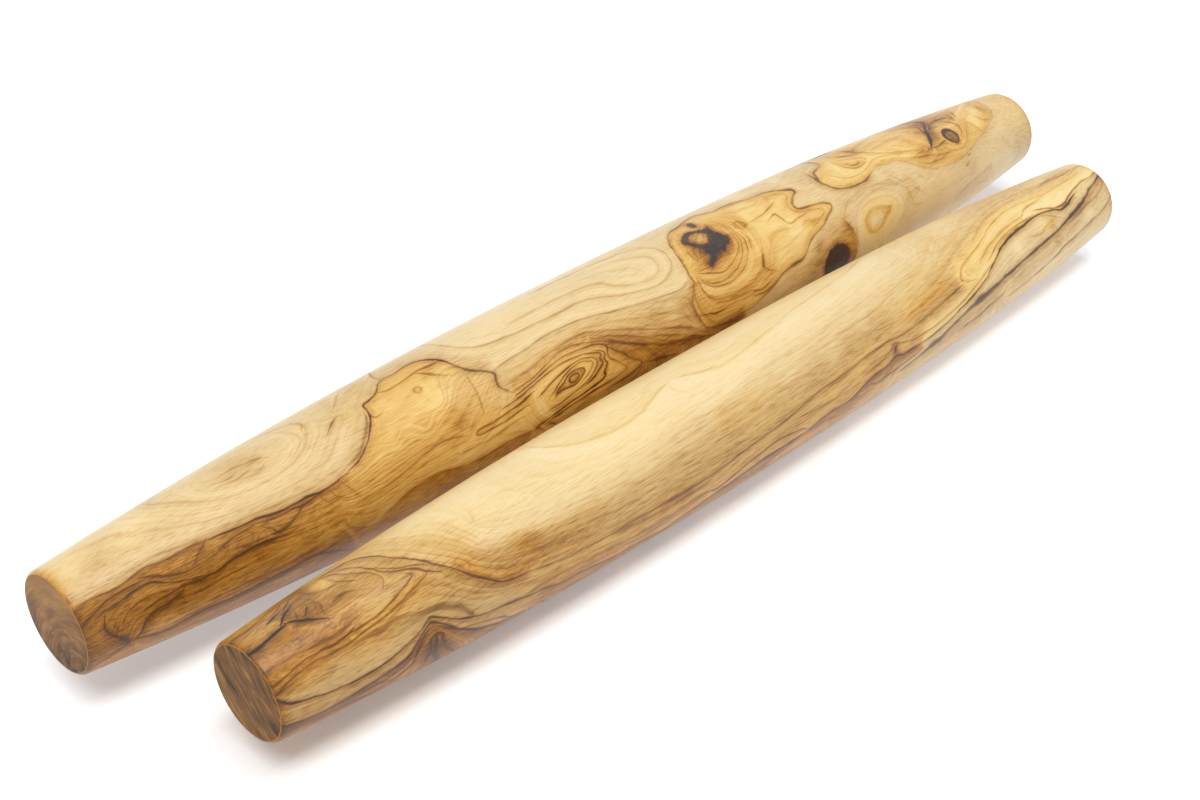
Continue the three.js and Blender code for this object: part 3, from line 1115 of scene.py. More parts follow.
# %% Long pin: the eye
LONG_EYE = [
    vein(0.6, 0.36, (-53.5, -67), (-52.5, -64), (-50.5, -63), (-49, -65), (-50, -68), (-52, -69),
        level=27, closed=True),
    vein(0.6, 0.36, (-48.5, -62.5), (-47, -64), (-48, -66)),
    vein(0.66, 0.36, (-60, -70.5), (-57, -67), (-55, -65), (-53, -62), (-50, -61), (-47, -62.2),
        (-46, -64.5), (-47.5, -66.8), (-49.5, -69.5), (-52, -71.2), (-54, -70.7), (-57, -70), level=26,
        above=golden(0.24), below=golden(0.38), closed=True),
    vein(0.6, 0.36, (-63, -71), (-60, -68), (-57, -64), (-53, -60), (-48.5, -58.2), (-45, -58.7),
        (-42.5, -61), (-42, -63), (-43.5, -66), (-46, -69), (-49, -72), level=25),
    vein(0.66, 0.36, (-66, -66), (-60, -61.5), (-54, -58), (-48.5, -56.3), (-44, -57.2), (-41, -59.6),
        (-40, -62.5), (-41, -66), (-43.5, -70), (-46, -72.7), (-50, -75), (-56, -77.5), (-63, -79.5),
        level=24),
    vein(0.75, 0.55, (-44, -54.5), (-40.5, -56.5), (-38.5, -58), (-38, -60.5), (-39, -62.5), (-38, -65),
        (-39, -67.5), (-41.5, -70.5), (-43, -72.5), (-47, -75)),
    vein(0.75, 0.45, (-40, -55), (-37.3, -57.5), (-36.3, -61), (-37.3, -64), (-36.5, -67), (-37.3, -70),
        (-39, -73.5), (-38.5, -75.5), (-41, -78), (-46, -79.5), (-51, -81), (-57, -82.5), (-63, -85),
        level=23, above=golden(0.31), below=golden(0.31)),
    vein(0.6, 0.4, (-75, -58), (-67, -55), (-60, -51.5), (-55, -49.5), (-50, -49), (-44, -50),
        (-39, -51.5), (-36, -54), (-34.5, -57), (-35.3, -61), (-35, -65), (-33, -69), (-30.5, -74),
        (-29, -78.5), (-33, -81), (-39, -82), (-45, -82.6), (-52, -84), (-58, -85.5), (-65, -88),
        level=22, above=golden(0.4), below=golden(0.26)),
    vein(0.6, 0.4, (-34.5, -57), (-32, -62), (-28.5, -68), (-26, -74), (-22, -80.5), (-25, -83.5),
        (-30, -85.5), (-38, -87), level=21.5, above=golden(0.59), below=golden(0.39)),
    vein(0.48, 0.4, (-75.5, -54), (-68, -53), (-62, -50), (-56, -46.5), (-52, -44.5), (-46, -45),
        (-40, -48), level=20, above=warm(0.28), below=warm(0.24)),
    vein(0.55, 0.36, (-82, -62), (-74, -60.3), (-68, -57.5), (-60, -54.3), (-54, -52.6), (-48, -53),
        (-43, -54)),
    vein(0.6, 0.4, (-72, -68), (-80, -70.5), (-86, -71), (-91.5, -71), (-92.5, -69), (-90, -67.5),
        (-85, -67.3), (-80, -66.3), (-74, -64.3), (-68, -61)),
    vein(0.6, 0.5, (-63, -85), (-67, -86.5), (-70, -88), (-67.5, -91)),
    vein(0.6, 0.5, (-65, -88), (-63.5, -90), (-61, -94)),
]
LONG_EYE_SPOTS = [
    Spot(-66, -75, golden(0.17), level=23), Spot(-80, -80, golden(0.17), size=4),
    Spot(-51, -66, golden(0.36)), Spot(-50, -89, golden(0.43)), Spot(-35, -85, golden(0.39)),
    Spot(-32, -78, golden(0.27)), Spot(-26, -80, golden(0.37)), Spot(-66, -92, golden(0.37)),
]
print(len(LONG_EYE), "strokes at the eye")

# %% [markdown]
# Past the eye the fibres run down to the right in long, nearly straight lines, pale above and brown below.

# %% Long pin: fibres between the eye and the island
LONG_FIBRES = [
    vein(0.35, 0.3, (-78, -35), (-70, -32.5), (-62, -31.5), (-55, -29.5), (-48, -29), (-40, -30),
        (-32, -33), (-25, -36.5), (-15, -40), (-5, -43), (4, -45), (9, -42), level=12, above=grey(0.16),
        below=grey(0.26)),
    vein(0.35, 0.45, (-76.5, -48), (-68, -46.5), (-60, -43.5), (-52, -41), (-46, -40), (-40, -41),
        (-34, -45), (-27, -50), (-18, -58), (-8, -66), (0, -72), (6, -78), level=(18, 14),
        above=warm(0.28), below=warm(0.42)),
    vein(0.45, 0.6, (-42, -47), (-34, -53), (-28, -60), (-20, -68), (-12, -75), (-4, -80), (4, -84),
        (12, -89), level=(20.5, 16), above=golden(0.5), below=golden(0.52)),
    vein(0.3, 0.4, (-36, -48), (-28, -54), (-20, -62), (-11, -69), (-3, -75)),
    vein(0.2, 0.4, (-40, -37), (-28, -43), (-16, -50), (-6, -55), (4, -57), level=(15, 13)),
    vein(0.25, 0.4, (-25, -52), (-15, -58), (-5, -63), (4, -66)),
    vein(0.4, 0.6, (-20, -82), (-12, -86), (-4, -90)),
    vein(0.5, 0.5, (-1, -80), (4, -82), (9, -87)),
]
LONG_FIBRE_SPOTS = [
    Spot(-60, -38, grey(0.24)), Spot(-25, -44, warm(0.26)), Spot(-10, -56, warm(0.38)),
    Spot(-14, -74, golden(0.51)), Spot(-4, -80, golden(0.47)), Spot(2, -62, warm(0.42)),
    Spot(3, -72, warm(0.47)), Spot(-3, -48, grey(0.22)),
]
print(len(LONG_FIBRES), "strokes in the fibres")

# %% [markdown]
# The island is a patch of golden heartwood with a thin dark edge. Rings lie about the black knot in it. A
# knot is drawn as an outline, and it can have a hole where wood shows again.

# %% Long pin: golden island with its knots
LONG_ISLAND = [
    vein(0.52, 0.5, (11, -44), (11, -38), (12, -28), (13, -20), (14.5, -10), (17, -2), (19, 3), (23, 7),
        (28, 9.5), (32, 13), (38, 14.5), (41, 11.5), (45, 7.5), (50, 7.5), (55, 5.5), (60, 2.5),
        (65, 1.5), (70, 0), (74, -4), (77, -8), (79.5, -12), (77.5, -16), (74.5, -20), (72.5, -25),
        (73, -30), (76, -32), (80, -33), (84, -34), (87.5, -37.5), (88.5, -40.5), (87, -44), (83, -48),
        (79, -52.5), (74, -55), (70, -58.5), (67, -64), (63.5, -68.5), (58, -69.5), (53, -71), (48, -75),
        (44, -79), (40, -81.5), (35, -84.5), (30, -85), level=12, above=grey(0.24), below=golden(0.22)),
    vein(0.45, 0.6, (11, -44), (9, -50), (7, -56), (6.5, -64), (7.5, -72), (9.5, -80), level=12,
        above=golden(0.38), below=warm(0.4)),
    vein(0.35, 0.6, (9.5, -80), (14, -84), (22, -85), (30, -85), level=12, above=golden(0.37),
        below=golden(0.63)),
    vein(0.65, 0.9, (75, -5), (79.5, -12), (76, -18)),
    vein(0.65, 0.8, (86, -36), (88.5, -40.5), (85, -46)),
    vein(0.2, 0.5, (66, -4), (71, -8), (74.5, -12.5), (72, -18), (70, -24), (71, -31), (75, -35.5),
        (80, -37), (83.5, -40.5), (80, -46), (74, -50), level=13.5),
    vein(0.4, 0.3, (37, -8), (39, -15), (39.5, -24), (38.5, -33), (36.5, -38.5), (33, -43), (29, -46.5),
        (25, -48), (21, -45.5), (17, -42.5), (14, -40), level=18, below=golden(0.34)),
    vein(0.35, 0.35, (38.5, -6), (40.5, -18), (40.5, -28), (39, -37), (36.5, -44), (32, -50), (27, -53),
        (22, -54), (17, -51), (14.5, -46), level=17),
    vein(0.45, 0.35, (41.5, -22), (42, -32), (40.3, -42), (37, -49.5), (33, -54.5), (28, -57.5),
        (23, -57.3), (18, -54.5), (14.5, -49), level=16, above=golden(0.2), below=golden(0.26)),
    vein(0.3, 0.6, (43.5, -26), (43.7, -35), (41.5, -45)),
    vein(0.4, 0.35, (13, -44), (13.5, -57), (18, -65), (24, -66.5), (30, -67.3), (36, -66), (42, -62),
        (46, -61), level=14.5, above=golden(0.3), below=golden(0.34)),
    vein(0.4, 0.35, (16, -67), (22, -69.5), (28, -71), (34, -71.5), (39, -74.5), (44, -73), (49, -69)),
    vein(0.4, 0.7, (46.5, -46), (45, -52), (43.5, -58), (45, -63), (49, -67)),
    vein(0.65, 0.35, (8, -70), (12, -71.5), (16, -74), (21, -74.5)),
    vein(0.55, 0.35, (36, -77), (41, -78), (46, -76.3)),
    vein(0.4, 0.35, (50, -22), (56, -21), (60, -19.5), (64, -16.5), (67, -14)),
    vein(0.3, 0.4, (43, -20), (45.5, -15.5), (48, -22), (45, -24), below=golden(0.45), closed=True),
    vein(0.4, 0.35, (57, -28), (62, -25), (63, -30), (65, -38), (70, -37), (76, -36.5)),
    vein(0.3, 0.4, (18, -8), (17, -20), (18, -32), level=14),
    vein(0.2, 0.5, (53, -54), (60, -53), (66, -49)),
    vein(0.16, 0.6, (49, -52), (53, -43), (59, -40), (66, -43)),
    vein(0.2, 0.5, (50, -6), (57, -8), (63, -6), (68, -9)),
    vein(0.4, 0.8, (91.5, -60), (94, -70), (94.5, -85), (93, -96), above=warm(0.29), below=golden(0.49)),
]
LONG_ISLAND_SPOTS = [
    Spot(55, -11, golden(0.1), level=13.5, size=7), Spot(66, -45, golden(0.08), level=13.5, size=6),
    Spot(53, -32, golden(0.16), level=13.5, size=6), Spot(54, -62, golden(0.14)),
    Spot(35, -58, golden(0.16)), Spot(46, -62, golden(0.34)), Spot(60, 0, golden(0.3)),
    Spot(48, -4, golden(0.28)), Spot(18, -78, golden(0.37)), Spot(25, -62, golden(0.36)),
    Spot(10, -62, golden(0.42)), Spot(15, -30, golden(0.24)), Spot(22, 1, golden(0.26)),
    Spot(74, -66, warm(0.44), level=12), Spot(72, -80, warm(0.41), level=12),
    Spot(84, -58, warm(0.36), level=12), Spot(60, -80, warm(0.27)), Spot(49, -44, golden(0.22)),
    Spot(58, -31, golden(0.08)), Spot(26.5, -14, warm(0.32)), Spot(22, -30, golden(0.7)),
    Spot(35, -33, golden(0.7)), Spot(30, -41, golden(0.52)), Spot(80, 10, warm(0.1), level=11),
    Spot(60, 20, warm(0.08), level=11, size=4),
]
LONG_KNOTS = [
    Knot([(19, -12), (21, -7), (24.5, -3), (28, -4), (30.5, -7), (33, -7.5), (35, -6.5), (34, -13),
        (35.5, -19), (37, -25), (36, -29), (33.5, -31), (32, -34.5), (30, -34), (27.5, -35), (25, -38),
        (22, -41), (21, -37.5), (24, -33), (23.5, -27), (22, -20), (20.5, -16)],
        hole=[(22.3, -13), (24, -9), (27.5, -8), (30, -12), (30, -17), (28, -21.5), (25, -20)]),
    Knot([(29.3, 2), (30, 6), (31, 7), (32.3, 5), (32.3, -1), (31, -2.5), (29.6, -1)]),
    Knot([(106, 32), (109, 26), (114, 24), (119, 26), (123, 32), (121, 42), (114, 47), (108, 42)]),
    Knot([(75, -84), (76.5, -78), (79.5, -73.5), (83, -71.5), (86.5, -74), (89, -79), (90, -83),
        (90, -92), (86, -97), (78, -97), (75, -91)]),
]
print(len(LONG_ISLAND), "strokes and", len(LONG_KNOTS), "knots at the golden island")

# %% [markdown]
# The second island is golden too, but the right part of its edge is faint. A black branch crosses it, with
# a small dark ring at its foot.

# %% Long pin: second island and black branch at the right
LONG_RIGHT = [
    vein(0.6, 0.55, (103, 45), (104, 25), (104, 10), (103, 3), (100, 0), (96, -3), (94.5, -8), (93, -16),
        (94, -22), (96, -28), (100, -32), (105, -34), (110, -34.5), (114, -33), (118, -29.5), level=12,
        above=golden(0.26), below=grey(0.28)),
    vein(0.6, 1.3, (93, -4), (93, -10), (92.5, -17), (94, -23)),
    vein(0.2, 0.6, (118, -29.5), (122, -27), (127, -28), (131, -29), (135, -31), (138, -35), (141, -40),
        (144, -46), (150, -53), (156, -56), (163, -58), (170, -57), (176, -55), (182, -50), (190, -44),
        (198, -36), (204, -25), (206, -12), (206, 0), (208, 15), (206, 40), level=12, above=golden(0.26),
        below=grey(0.2)),
    vein(0.25, 0.4, (100, -15), (103, -22), (108, -26), (115, -25), (121, -21), (126, -18.5), (131, -19),
        (136, -22), (142, -27), level=14, above=golden(0.16), below=golden(0.12)),
    vein(0.4, 0.4, (108, 2), (108.5, -8), (110, -14), (114, -19), (120, -17), level=15.5,
        above=golden(0.28), below=golden(0.08)),
    vein(0.35, 0.45, (112, -8), (113, -14), (117, -15), (118, -9)),
    vein(0.3, 0.4, (106, 5), (106.5, -3), (110, -9)),
    vein(0.35, 0.6, (112, 14), (114, 6), (117, 1), (119, -4)),
    vein(0.2, 0.4, (128, 2), (136, 5), (146, 8), (155, 14)),
    vein(0.16, 0.5, (130, -6), (138, -4), (148, -3)),
    vein(0.45, 1.2, (120, 15), (121.5, 5), (123, -1), (125.5, -5)),
    vein(0.35, 0.5, (121, 0), (126, 8), (132, 12), (140, 17)),
    vein(0.3, 0.4, (126, -8), (131, -15), (136, -19.5), (141, -24), (147, -28), (152, -31), (156, -33),
        level=(15, 13)),
    vein(0.2, 0.4, (143, 2), (147, -12), (151, -24), (155, -32)),
    vein(0.3, 0.4, (141, -33), (147, -37), (153, -40), (160, -45), (165, -46)),
    vein(0.3, 0.4, (144, -40), (150, -47), (157, -48), (164, -46), below=golden(0.38)),
    vein(0.85, 0.9, (156, -33.5), (158, -28), (160, -22), (161, -16), (163, -10), (165, -5), (168, 2),
        (168.5, 6), (167, 12), (165, 18), (162, 24), (158, 29), (153, 34), black=0.85),
    vein(0.7, 0.7, (161, -20), (160.5, -13), (161, -8), (162, -3), black=0.6),
    vein(0.8, 0.6, (163, -12), (165.5, -11), (167.5, -6), (168, -1), black=0.7),
    vein(0.8, 0.5, (168, -4), (172, -2.5), (176, -1.5), (179, -2), (181, -4), black=0.6),
    vein(0.65, 0.4, (149, -33), (153, -34.5), (156, -33.5), (160, -35), (164, -33.5), (167, -32)),
    vein(0.8, 0.7, (168, -27), (169.5, -22), (172, -21), (174, -25), (175, -32), (174, -38), (172, -40),
        (170, -37), (168.5, -32), black=0.6, above=golden(0.26), below=warm(0.6), closed=True),
    vein(0.6, 0.5, (170.5, -26), (171.5, -31), (171.5, -36), black=0.3),
    vein(0.5, 0.6, (176, -8), (179, -15), (180, -22), (179, -30), (177.5, -34)),
    vein(0.25, 0.5, (163, -37), (165, -44), (170, -48), (176, -46), (180, -39), (182, -31)),
    vein(0.4, 0.6, (184, 4), (182.5, -6), (181.5, -15)),
    vein(0.45, 0.5, (188, 10), (186.5, 0), (185, -9)),
    vein(0.5, 0.5, (202, -3), (201, -9), (200.5, -15)),
    vein(0.3, 0.6, (187, -22), (188.5, -32), (190, -40)),
    vein(0.35, 0.6, (194, -20), (196, -28), (200, -31)),
]
LONG_RIGHT_SPOTS = [
    Spot(101, -18, warm(0.14)), Spot(105, -2, golden(0.1)), Spot(115, -12, golden(0.24)),
    Spot(123, 2, golden(0.36)), Spot(117, 12, golden(0.28)), Spot(135, -2, golden(0.2), level=13),
    Spot(147, -8, golden(0.24), level=13), Spot(152, -20, golden(0.2)), Spot(150, -33, golden(0.4)),
    Spot(163, 3, golden(0.62)), Spot(164, -17, warm(0.64)), Spot(173, 5, golden(0.46)),
    Spot(160, 12, golden(0.4)), Spot(172, -12, warm(0.36)), Spot(161, -8, golden(0.56)),
    Spot(166, -6, warm(0.62)), Spot(191, -25, golden(0.06), level=12),
    Spot(197, -10, golden(0.08), level=12), Spot(184, -26, golden(0.28)), Spot(182, -5, golden(0.4)),
    Spot(160, -52, golden(0.36)), Spot(203, -12, golden(0.4)),
    Spot(215, -30, warm(0.18), level=12, size=6), Spot(215, 5, golden(0.2), level=12, size=5),
]
print(len(LONG_RIGHT), "strokes at the second island")

# %% [markdown]
# Below the second island the wood is pale again, with faint rings about a small eye, and a few dots.

# %% Long pin: pale wood under the second island
LONG_PALE = [
    vein(0.3, 1.0, (101.5, -69), (103, -64), (107, -60.5), (112, -61.5), (116, -65), (118, -67.5),
        (114, -73), (110, -78.5), (106, -80), (103, -77), level=14, above=golden(0.1), below=golden(0.2),
        closed=True),
    flow((105, -70), (109, -65), (113, -68), (109, -74), above=warm(0.14), below=warm(0.12), closed=True),
    vein(0.12, 0.6, (97, -92), (95.5, -75), (97, -60), (103, -50), (112, -47), (121, -52), (126, -62),
        (126, -76), (120, -90), level=12.5, above=grey(0.2), below=warm(0.12)),
    vein(0.15, 0.5, (92, -52), (97, -44), (106, -40.5), (115, -41.5), (124, -47), (129, -56)),
    vein(0.16, 0.45, (99, -58), (106, -53), (114, -53.5), (121, -59), (123, -68)),
    vein(0.2, 0.5, (128, -52), (131, -60), (132, -70)),
    vein(0.3, 0.4, (127, -44), (129, -48), (130, -51)),
    vein(0.3, 0.4, (121, -42), (123, -43), (125, -46)),
    vein(0.3, 0.5, (135, -58), (136, -62), (138, -66)),
    vein(0.2, 0.5, (140, -52), (142, -56), (143, -62)),
    vein(0.15, 0.6, (130, -73), (134, -77), (139, -79)),
    vein(0.15, 0.5, (133, -48), (137, -58), (138, -68)),
    vein(0.15, 0.7, (165, -96), (175, -90), (185, -86), (189.5, -84), (190, -96), level=13,
        above=warm(0.09), below=warm(0.19)),
    vein(0.6, 0.5, (171.5, -67.5), (173, -66)),
    vein(0.6, 0.5, (174.5, -59), (176, -58)),
    vein(0.5, 0.4, (169.5, -58.5), (171, -58)),
]
LONG_PALE_SPOTS = [
    Spot(109, -70, warm(0.1), level=15), Spot(100, -42, grey(0.2), level=12),
    Spot(125, -38, grey(0.27), level=12), Spot(150, -75, warm(0.13), level=12.3, size=8),
    Spot(200, -65, grey(0.18), level=12.3, size=8), Spot(175, -70, grey(0.22), level=12.3, size=5),
    Spot(132, -62, warm(0.26), level=12.3), Spot(215, -85, grey(0.23), level=12.3, size=6),
    Spot(140, -92, warm(0.07), level=12.6, size=6), Spot(200, -95, grey(0.11), level=12.3, size=8),
    Spot(155, -100, golden(0.07), level=12.6, size=8), Spot(120, -95, golden(0.09), level=12.6, size=5),
]
print(len(LONG_PALE), "strokes in the pale wood")

# %% [markdown]
# The side that faces away has only long veins from end to end, with bands of stain between them.

# %% Long pin: the side that faces away
LONG_BACK = [
    # The band high on the back is pale wood made paler still, as painted highlight where the top catches the
    # light
    vein(0.25, 0.5, (-225, 70), (-150, 80), (-60, 62), (0, 75), (80, 85), (160, 70), (225, 80), level=6,
        above=warm(0.12), below=warm(0.06)),
    vein(0.6, 0.5, (-225, 105), (-140, 118), (-50, 100), (40, 120), (120, 105), (225, 112), level=10,
        above=golden(0.36), below=warm(0.16)),
    vein(0.7, 0.6, (-225, 140), (-120, 150), (-20, 138), (60, 155), (150, 142), (225, 150), level=14,
        above=golden(0.52), below=golden(0.26)),
    vein(0.5, 0.5, (-225, 175), (-100, 185), (0, 172), (100, 190), (225, 180), level=18, above=warm(0.68),
        below=golden(0.36)),
    vein(0.4, 0.5, (-225, 212), (-120, 205), (0, 215), (90, 208), level=(20, 18), above=warm(0.4),
        below=warm(0.6)),
    vein(0.3, 0.5, (90, 208), (160, 212), (225, 208), level=(18, 16), above=warm(0.16), below=warm(0.3)),
]
LONG_STROKES = (LONG_HEART + LONG_MARKS + LONG_SWIRL + LONG_EYE + LONG_FIBRES + LONG_ISLAND + LONG_RIGHT
                + LONG_PALE + LONG_BACK)
LONG_SPOTS = (LONG_HEART_SPOTS + LONG_MARK_SPOTS + LONG_SWIRL_SPOTS + LONG_EYE_SPOTS + LONG_FIBRE_SPOTS
              + LONG_ISLAND_SPOTS + LONG_RIGHT_SPOTS + LONG_PALE_SPOTS)
print(len(LONG_STROKES), "strokes in all on the long pin")

# %% [markdown]
# ## Figure of the short pin
# The short pin is mostly pale, with thin brown veins along it. Near its left end a side branch has pushed
# the veins up to a sharp peak, and above the peak is a burl patch with a black crack. Its lower side and its
# right half have a bold vein with thinner ones beside it.

# %% Short pin: pale top
SHORT_TOP = [
    vein(0.22, 0.6, (-92, 40), (-91, 25), (-89, 10), (-87, 3), (-84, -3), (-80, -8), (-73, -12),
        (-65, -14), (-57, -12), (-50, -7), (-44, -2), (-39, 1), level=3, above=warm(0.12),
        below=warm(0.04)),
    vein(0.22, 0.6, (-37, 2), (-33, -2), (-28, -7), (-22, -10.5), (-16, -11.5), (-10, -10.5), (-3, -8),
        (2, -6), (10, -3), (16, 0), (22, 3), (30, 5), (40, 8.5), (50, 11.5), (58, 16), (64, 21), (70, 28),
        level=3, above=warm(0.12), below=warm(0.04)),
    vein(0.1, 0.8, (-40, -2), (-41, -8), (-39, -15)),
    flow((-130, -54), (-122, -60), (-112, -65), (-100, -70), (-88, -73), above=warm(0.48),
        below=warm(0.56)),
    flow((-128, -38), (-110, -46), (-95, -49), (-80, -50), (-60, -47), (-40, -40), level=(8, 7),
        above=grey(0.2), below=grey(0.27)),
    flow((-40, -40), (-20, -34), (0, -28), (30, -22), (60, -14), (80, -6), level=(7, 5), above=grey(0.13),
        below=grey(0.2)),
    flow((-129, -62), (-120, -68), (-108, -72), (-95, -75), level=(11.5, 11), above=warm(0.56),
        below=golden(0.5)),
    flow((-95, -75), (-80, -76), (-60, -75), (-40, -72), (-25, -70), (0, -66), (15, -64), (30, -59),
        (50, -52), level=(11, 9), above=grey(0.4), below=warm(0.44)),
    flow((50, -52), (65, -45), (80, -38), (95, -28), (110, -15), (125, -4), (140, 3), (160, 6), (190, 8),
        level=9, above=warm(0.28), below=warm(0.34)),
    vein(0.2, 0.6, (60, -56), (70, -53), (80, -49), above=golden(0.38), below=golden(0.36)),
    flow((-125, -20), (-100, -28), (-70, -32), (-45, -26), (-20, -20), (10, -15), (40, -6), level=(5, 4)),
]
SHORT_TOP_SPOTS = [
    Spot(-116, -62, golden(0.58), size=5), Spot(-31, -57, warm(0.4), size=4),
    Spot(-20, -54, warm(0.36), size=4), Spot(-140, 15, warm(0.12), level=8),
    Spot(-120, 14, warm(0.08), size=8), Spot(-60, 20, golden(0.02)), Spot(20, 28, golden(0.05)),
    # The spot at 110 along and 22 around is pale wood made paler still, as painted highlight on the top
    Spot(110, 22, warm(0.08), level=7), Spot(0, -45, grey(0.22)), Spot(20, -50, grey(0.26)),
    Spot(40, -44, grey(0.24)), Spot(-75, -62, grey(0.39)), Spot(-105, -37, grey(0.18)),
    Spot(-70, -40, grey(0.17)), Spot(100, -38, warm(0.34)), Spot(95, -15, warm(0.28)),
]
print(len(SHORT_TOP), "strokes on the top of the short pin")

# %% [markdown]
# The burl patch is small and dark. Its black crack forks, so it takes several short strokes.

# %% Short pin: burl patch with its crack
SHORT_BURL = [
    vein(0.9, 0.75, (-200, -12), (-197, -11.5), (-193, -8.5), (-189, -7), (-186.5, -5), black=0.95),
    vein(0.9, 0.6, (-187, -4), (-184, -9), (-182, -13), (-180, -18), (-177.5, -23), black=0.9),
    vein(0.85, 0.6, (-188, -4), (-185.5, 4), (-183, 9), (-180.5, 14), black=0.85),
    vein(0.8, 0.6, (-190, 8), (-187, 12), (-185, 14), black=0.8),
    vein(0.7, 0.4, (-183.5, -7), (-182.5, -1), black=0.6),
    vein(0.7, 0.5, (-181.5, -9), (-179.5, -4), (-179, -1), black=0.6),
    vein(0.6, 0.5, (-184, 12), (-182, 17), (-180, 22), black=0.4),
    vein(0.5, 0.4, (-187, 16), (-184, 20), (-182, 26), black=0.3),
    vein(0.4, 0.5, (-178, 12), (-176.5, 2), (-177.5, -8)),
    vein(0.4, 0.4, (-181, 5), (-178, 1), (-176, -6), (-177, -16)),
    vein(0.5, 0.6, (-200, 20), (-194, 19), (-188, 25), (-183, 30)),
    vein(0.35, 0.7, (-174, 30), (-176, 20), (-174, 8), (-169, 2)),
    vein(0.4, 0.8, (-173, -13), (-169, -11), (-166, -15)),
    vein(0.3, 0.5, (-176, -36), (-174, -30), (-170, -28)),
    vein(0.4, 0.6, (-200, -37), (-190, -37), (-182, -40), (-176, -40), (-170, -36), level=14,
        above=golden(0.59), below=golden(0.55)),
]
SHORT_BURL_SPOTS = [
    Spot(-190, 2, warm(0.46), level=14, size=4), Spot(-183, 18, warm(0.62), size=4),
    Spot(-195, 27, golden(0.5)), Spot(-177, 26, warm(0.68), size=4),
    Spot(-190, -24, golden(0.6), level=14, size=4), Spot(-178, 4, warm(0.6), size=4),
    Spot(-171, 15, golden(0.26)), Spot(-173, -10, warm(0.46)), Spot(-165, -16, warm(0.36)),
    Spot(-168, 4, warm(0.42)), Spot(-172, -32, golden(0.44)), Spot(-180, -30, golden(0.66)),
    Spot(-198, -58, golden(0.74)), Spot(-199, -45, golden(0.62)), Spot(-198, 5, warm(0.44)),
]
print(len(SHORT_BURL), "strokes in the burl patch")

# %% [markdown]
# The veins climb from both sides to a sharp peak, one inside the other.

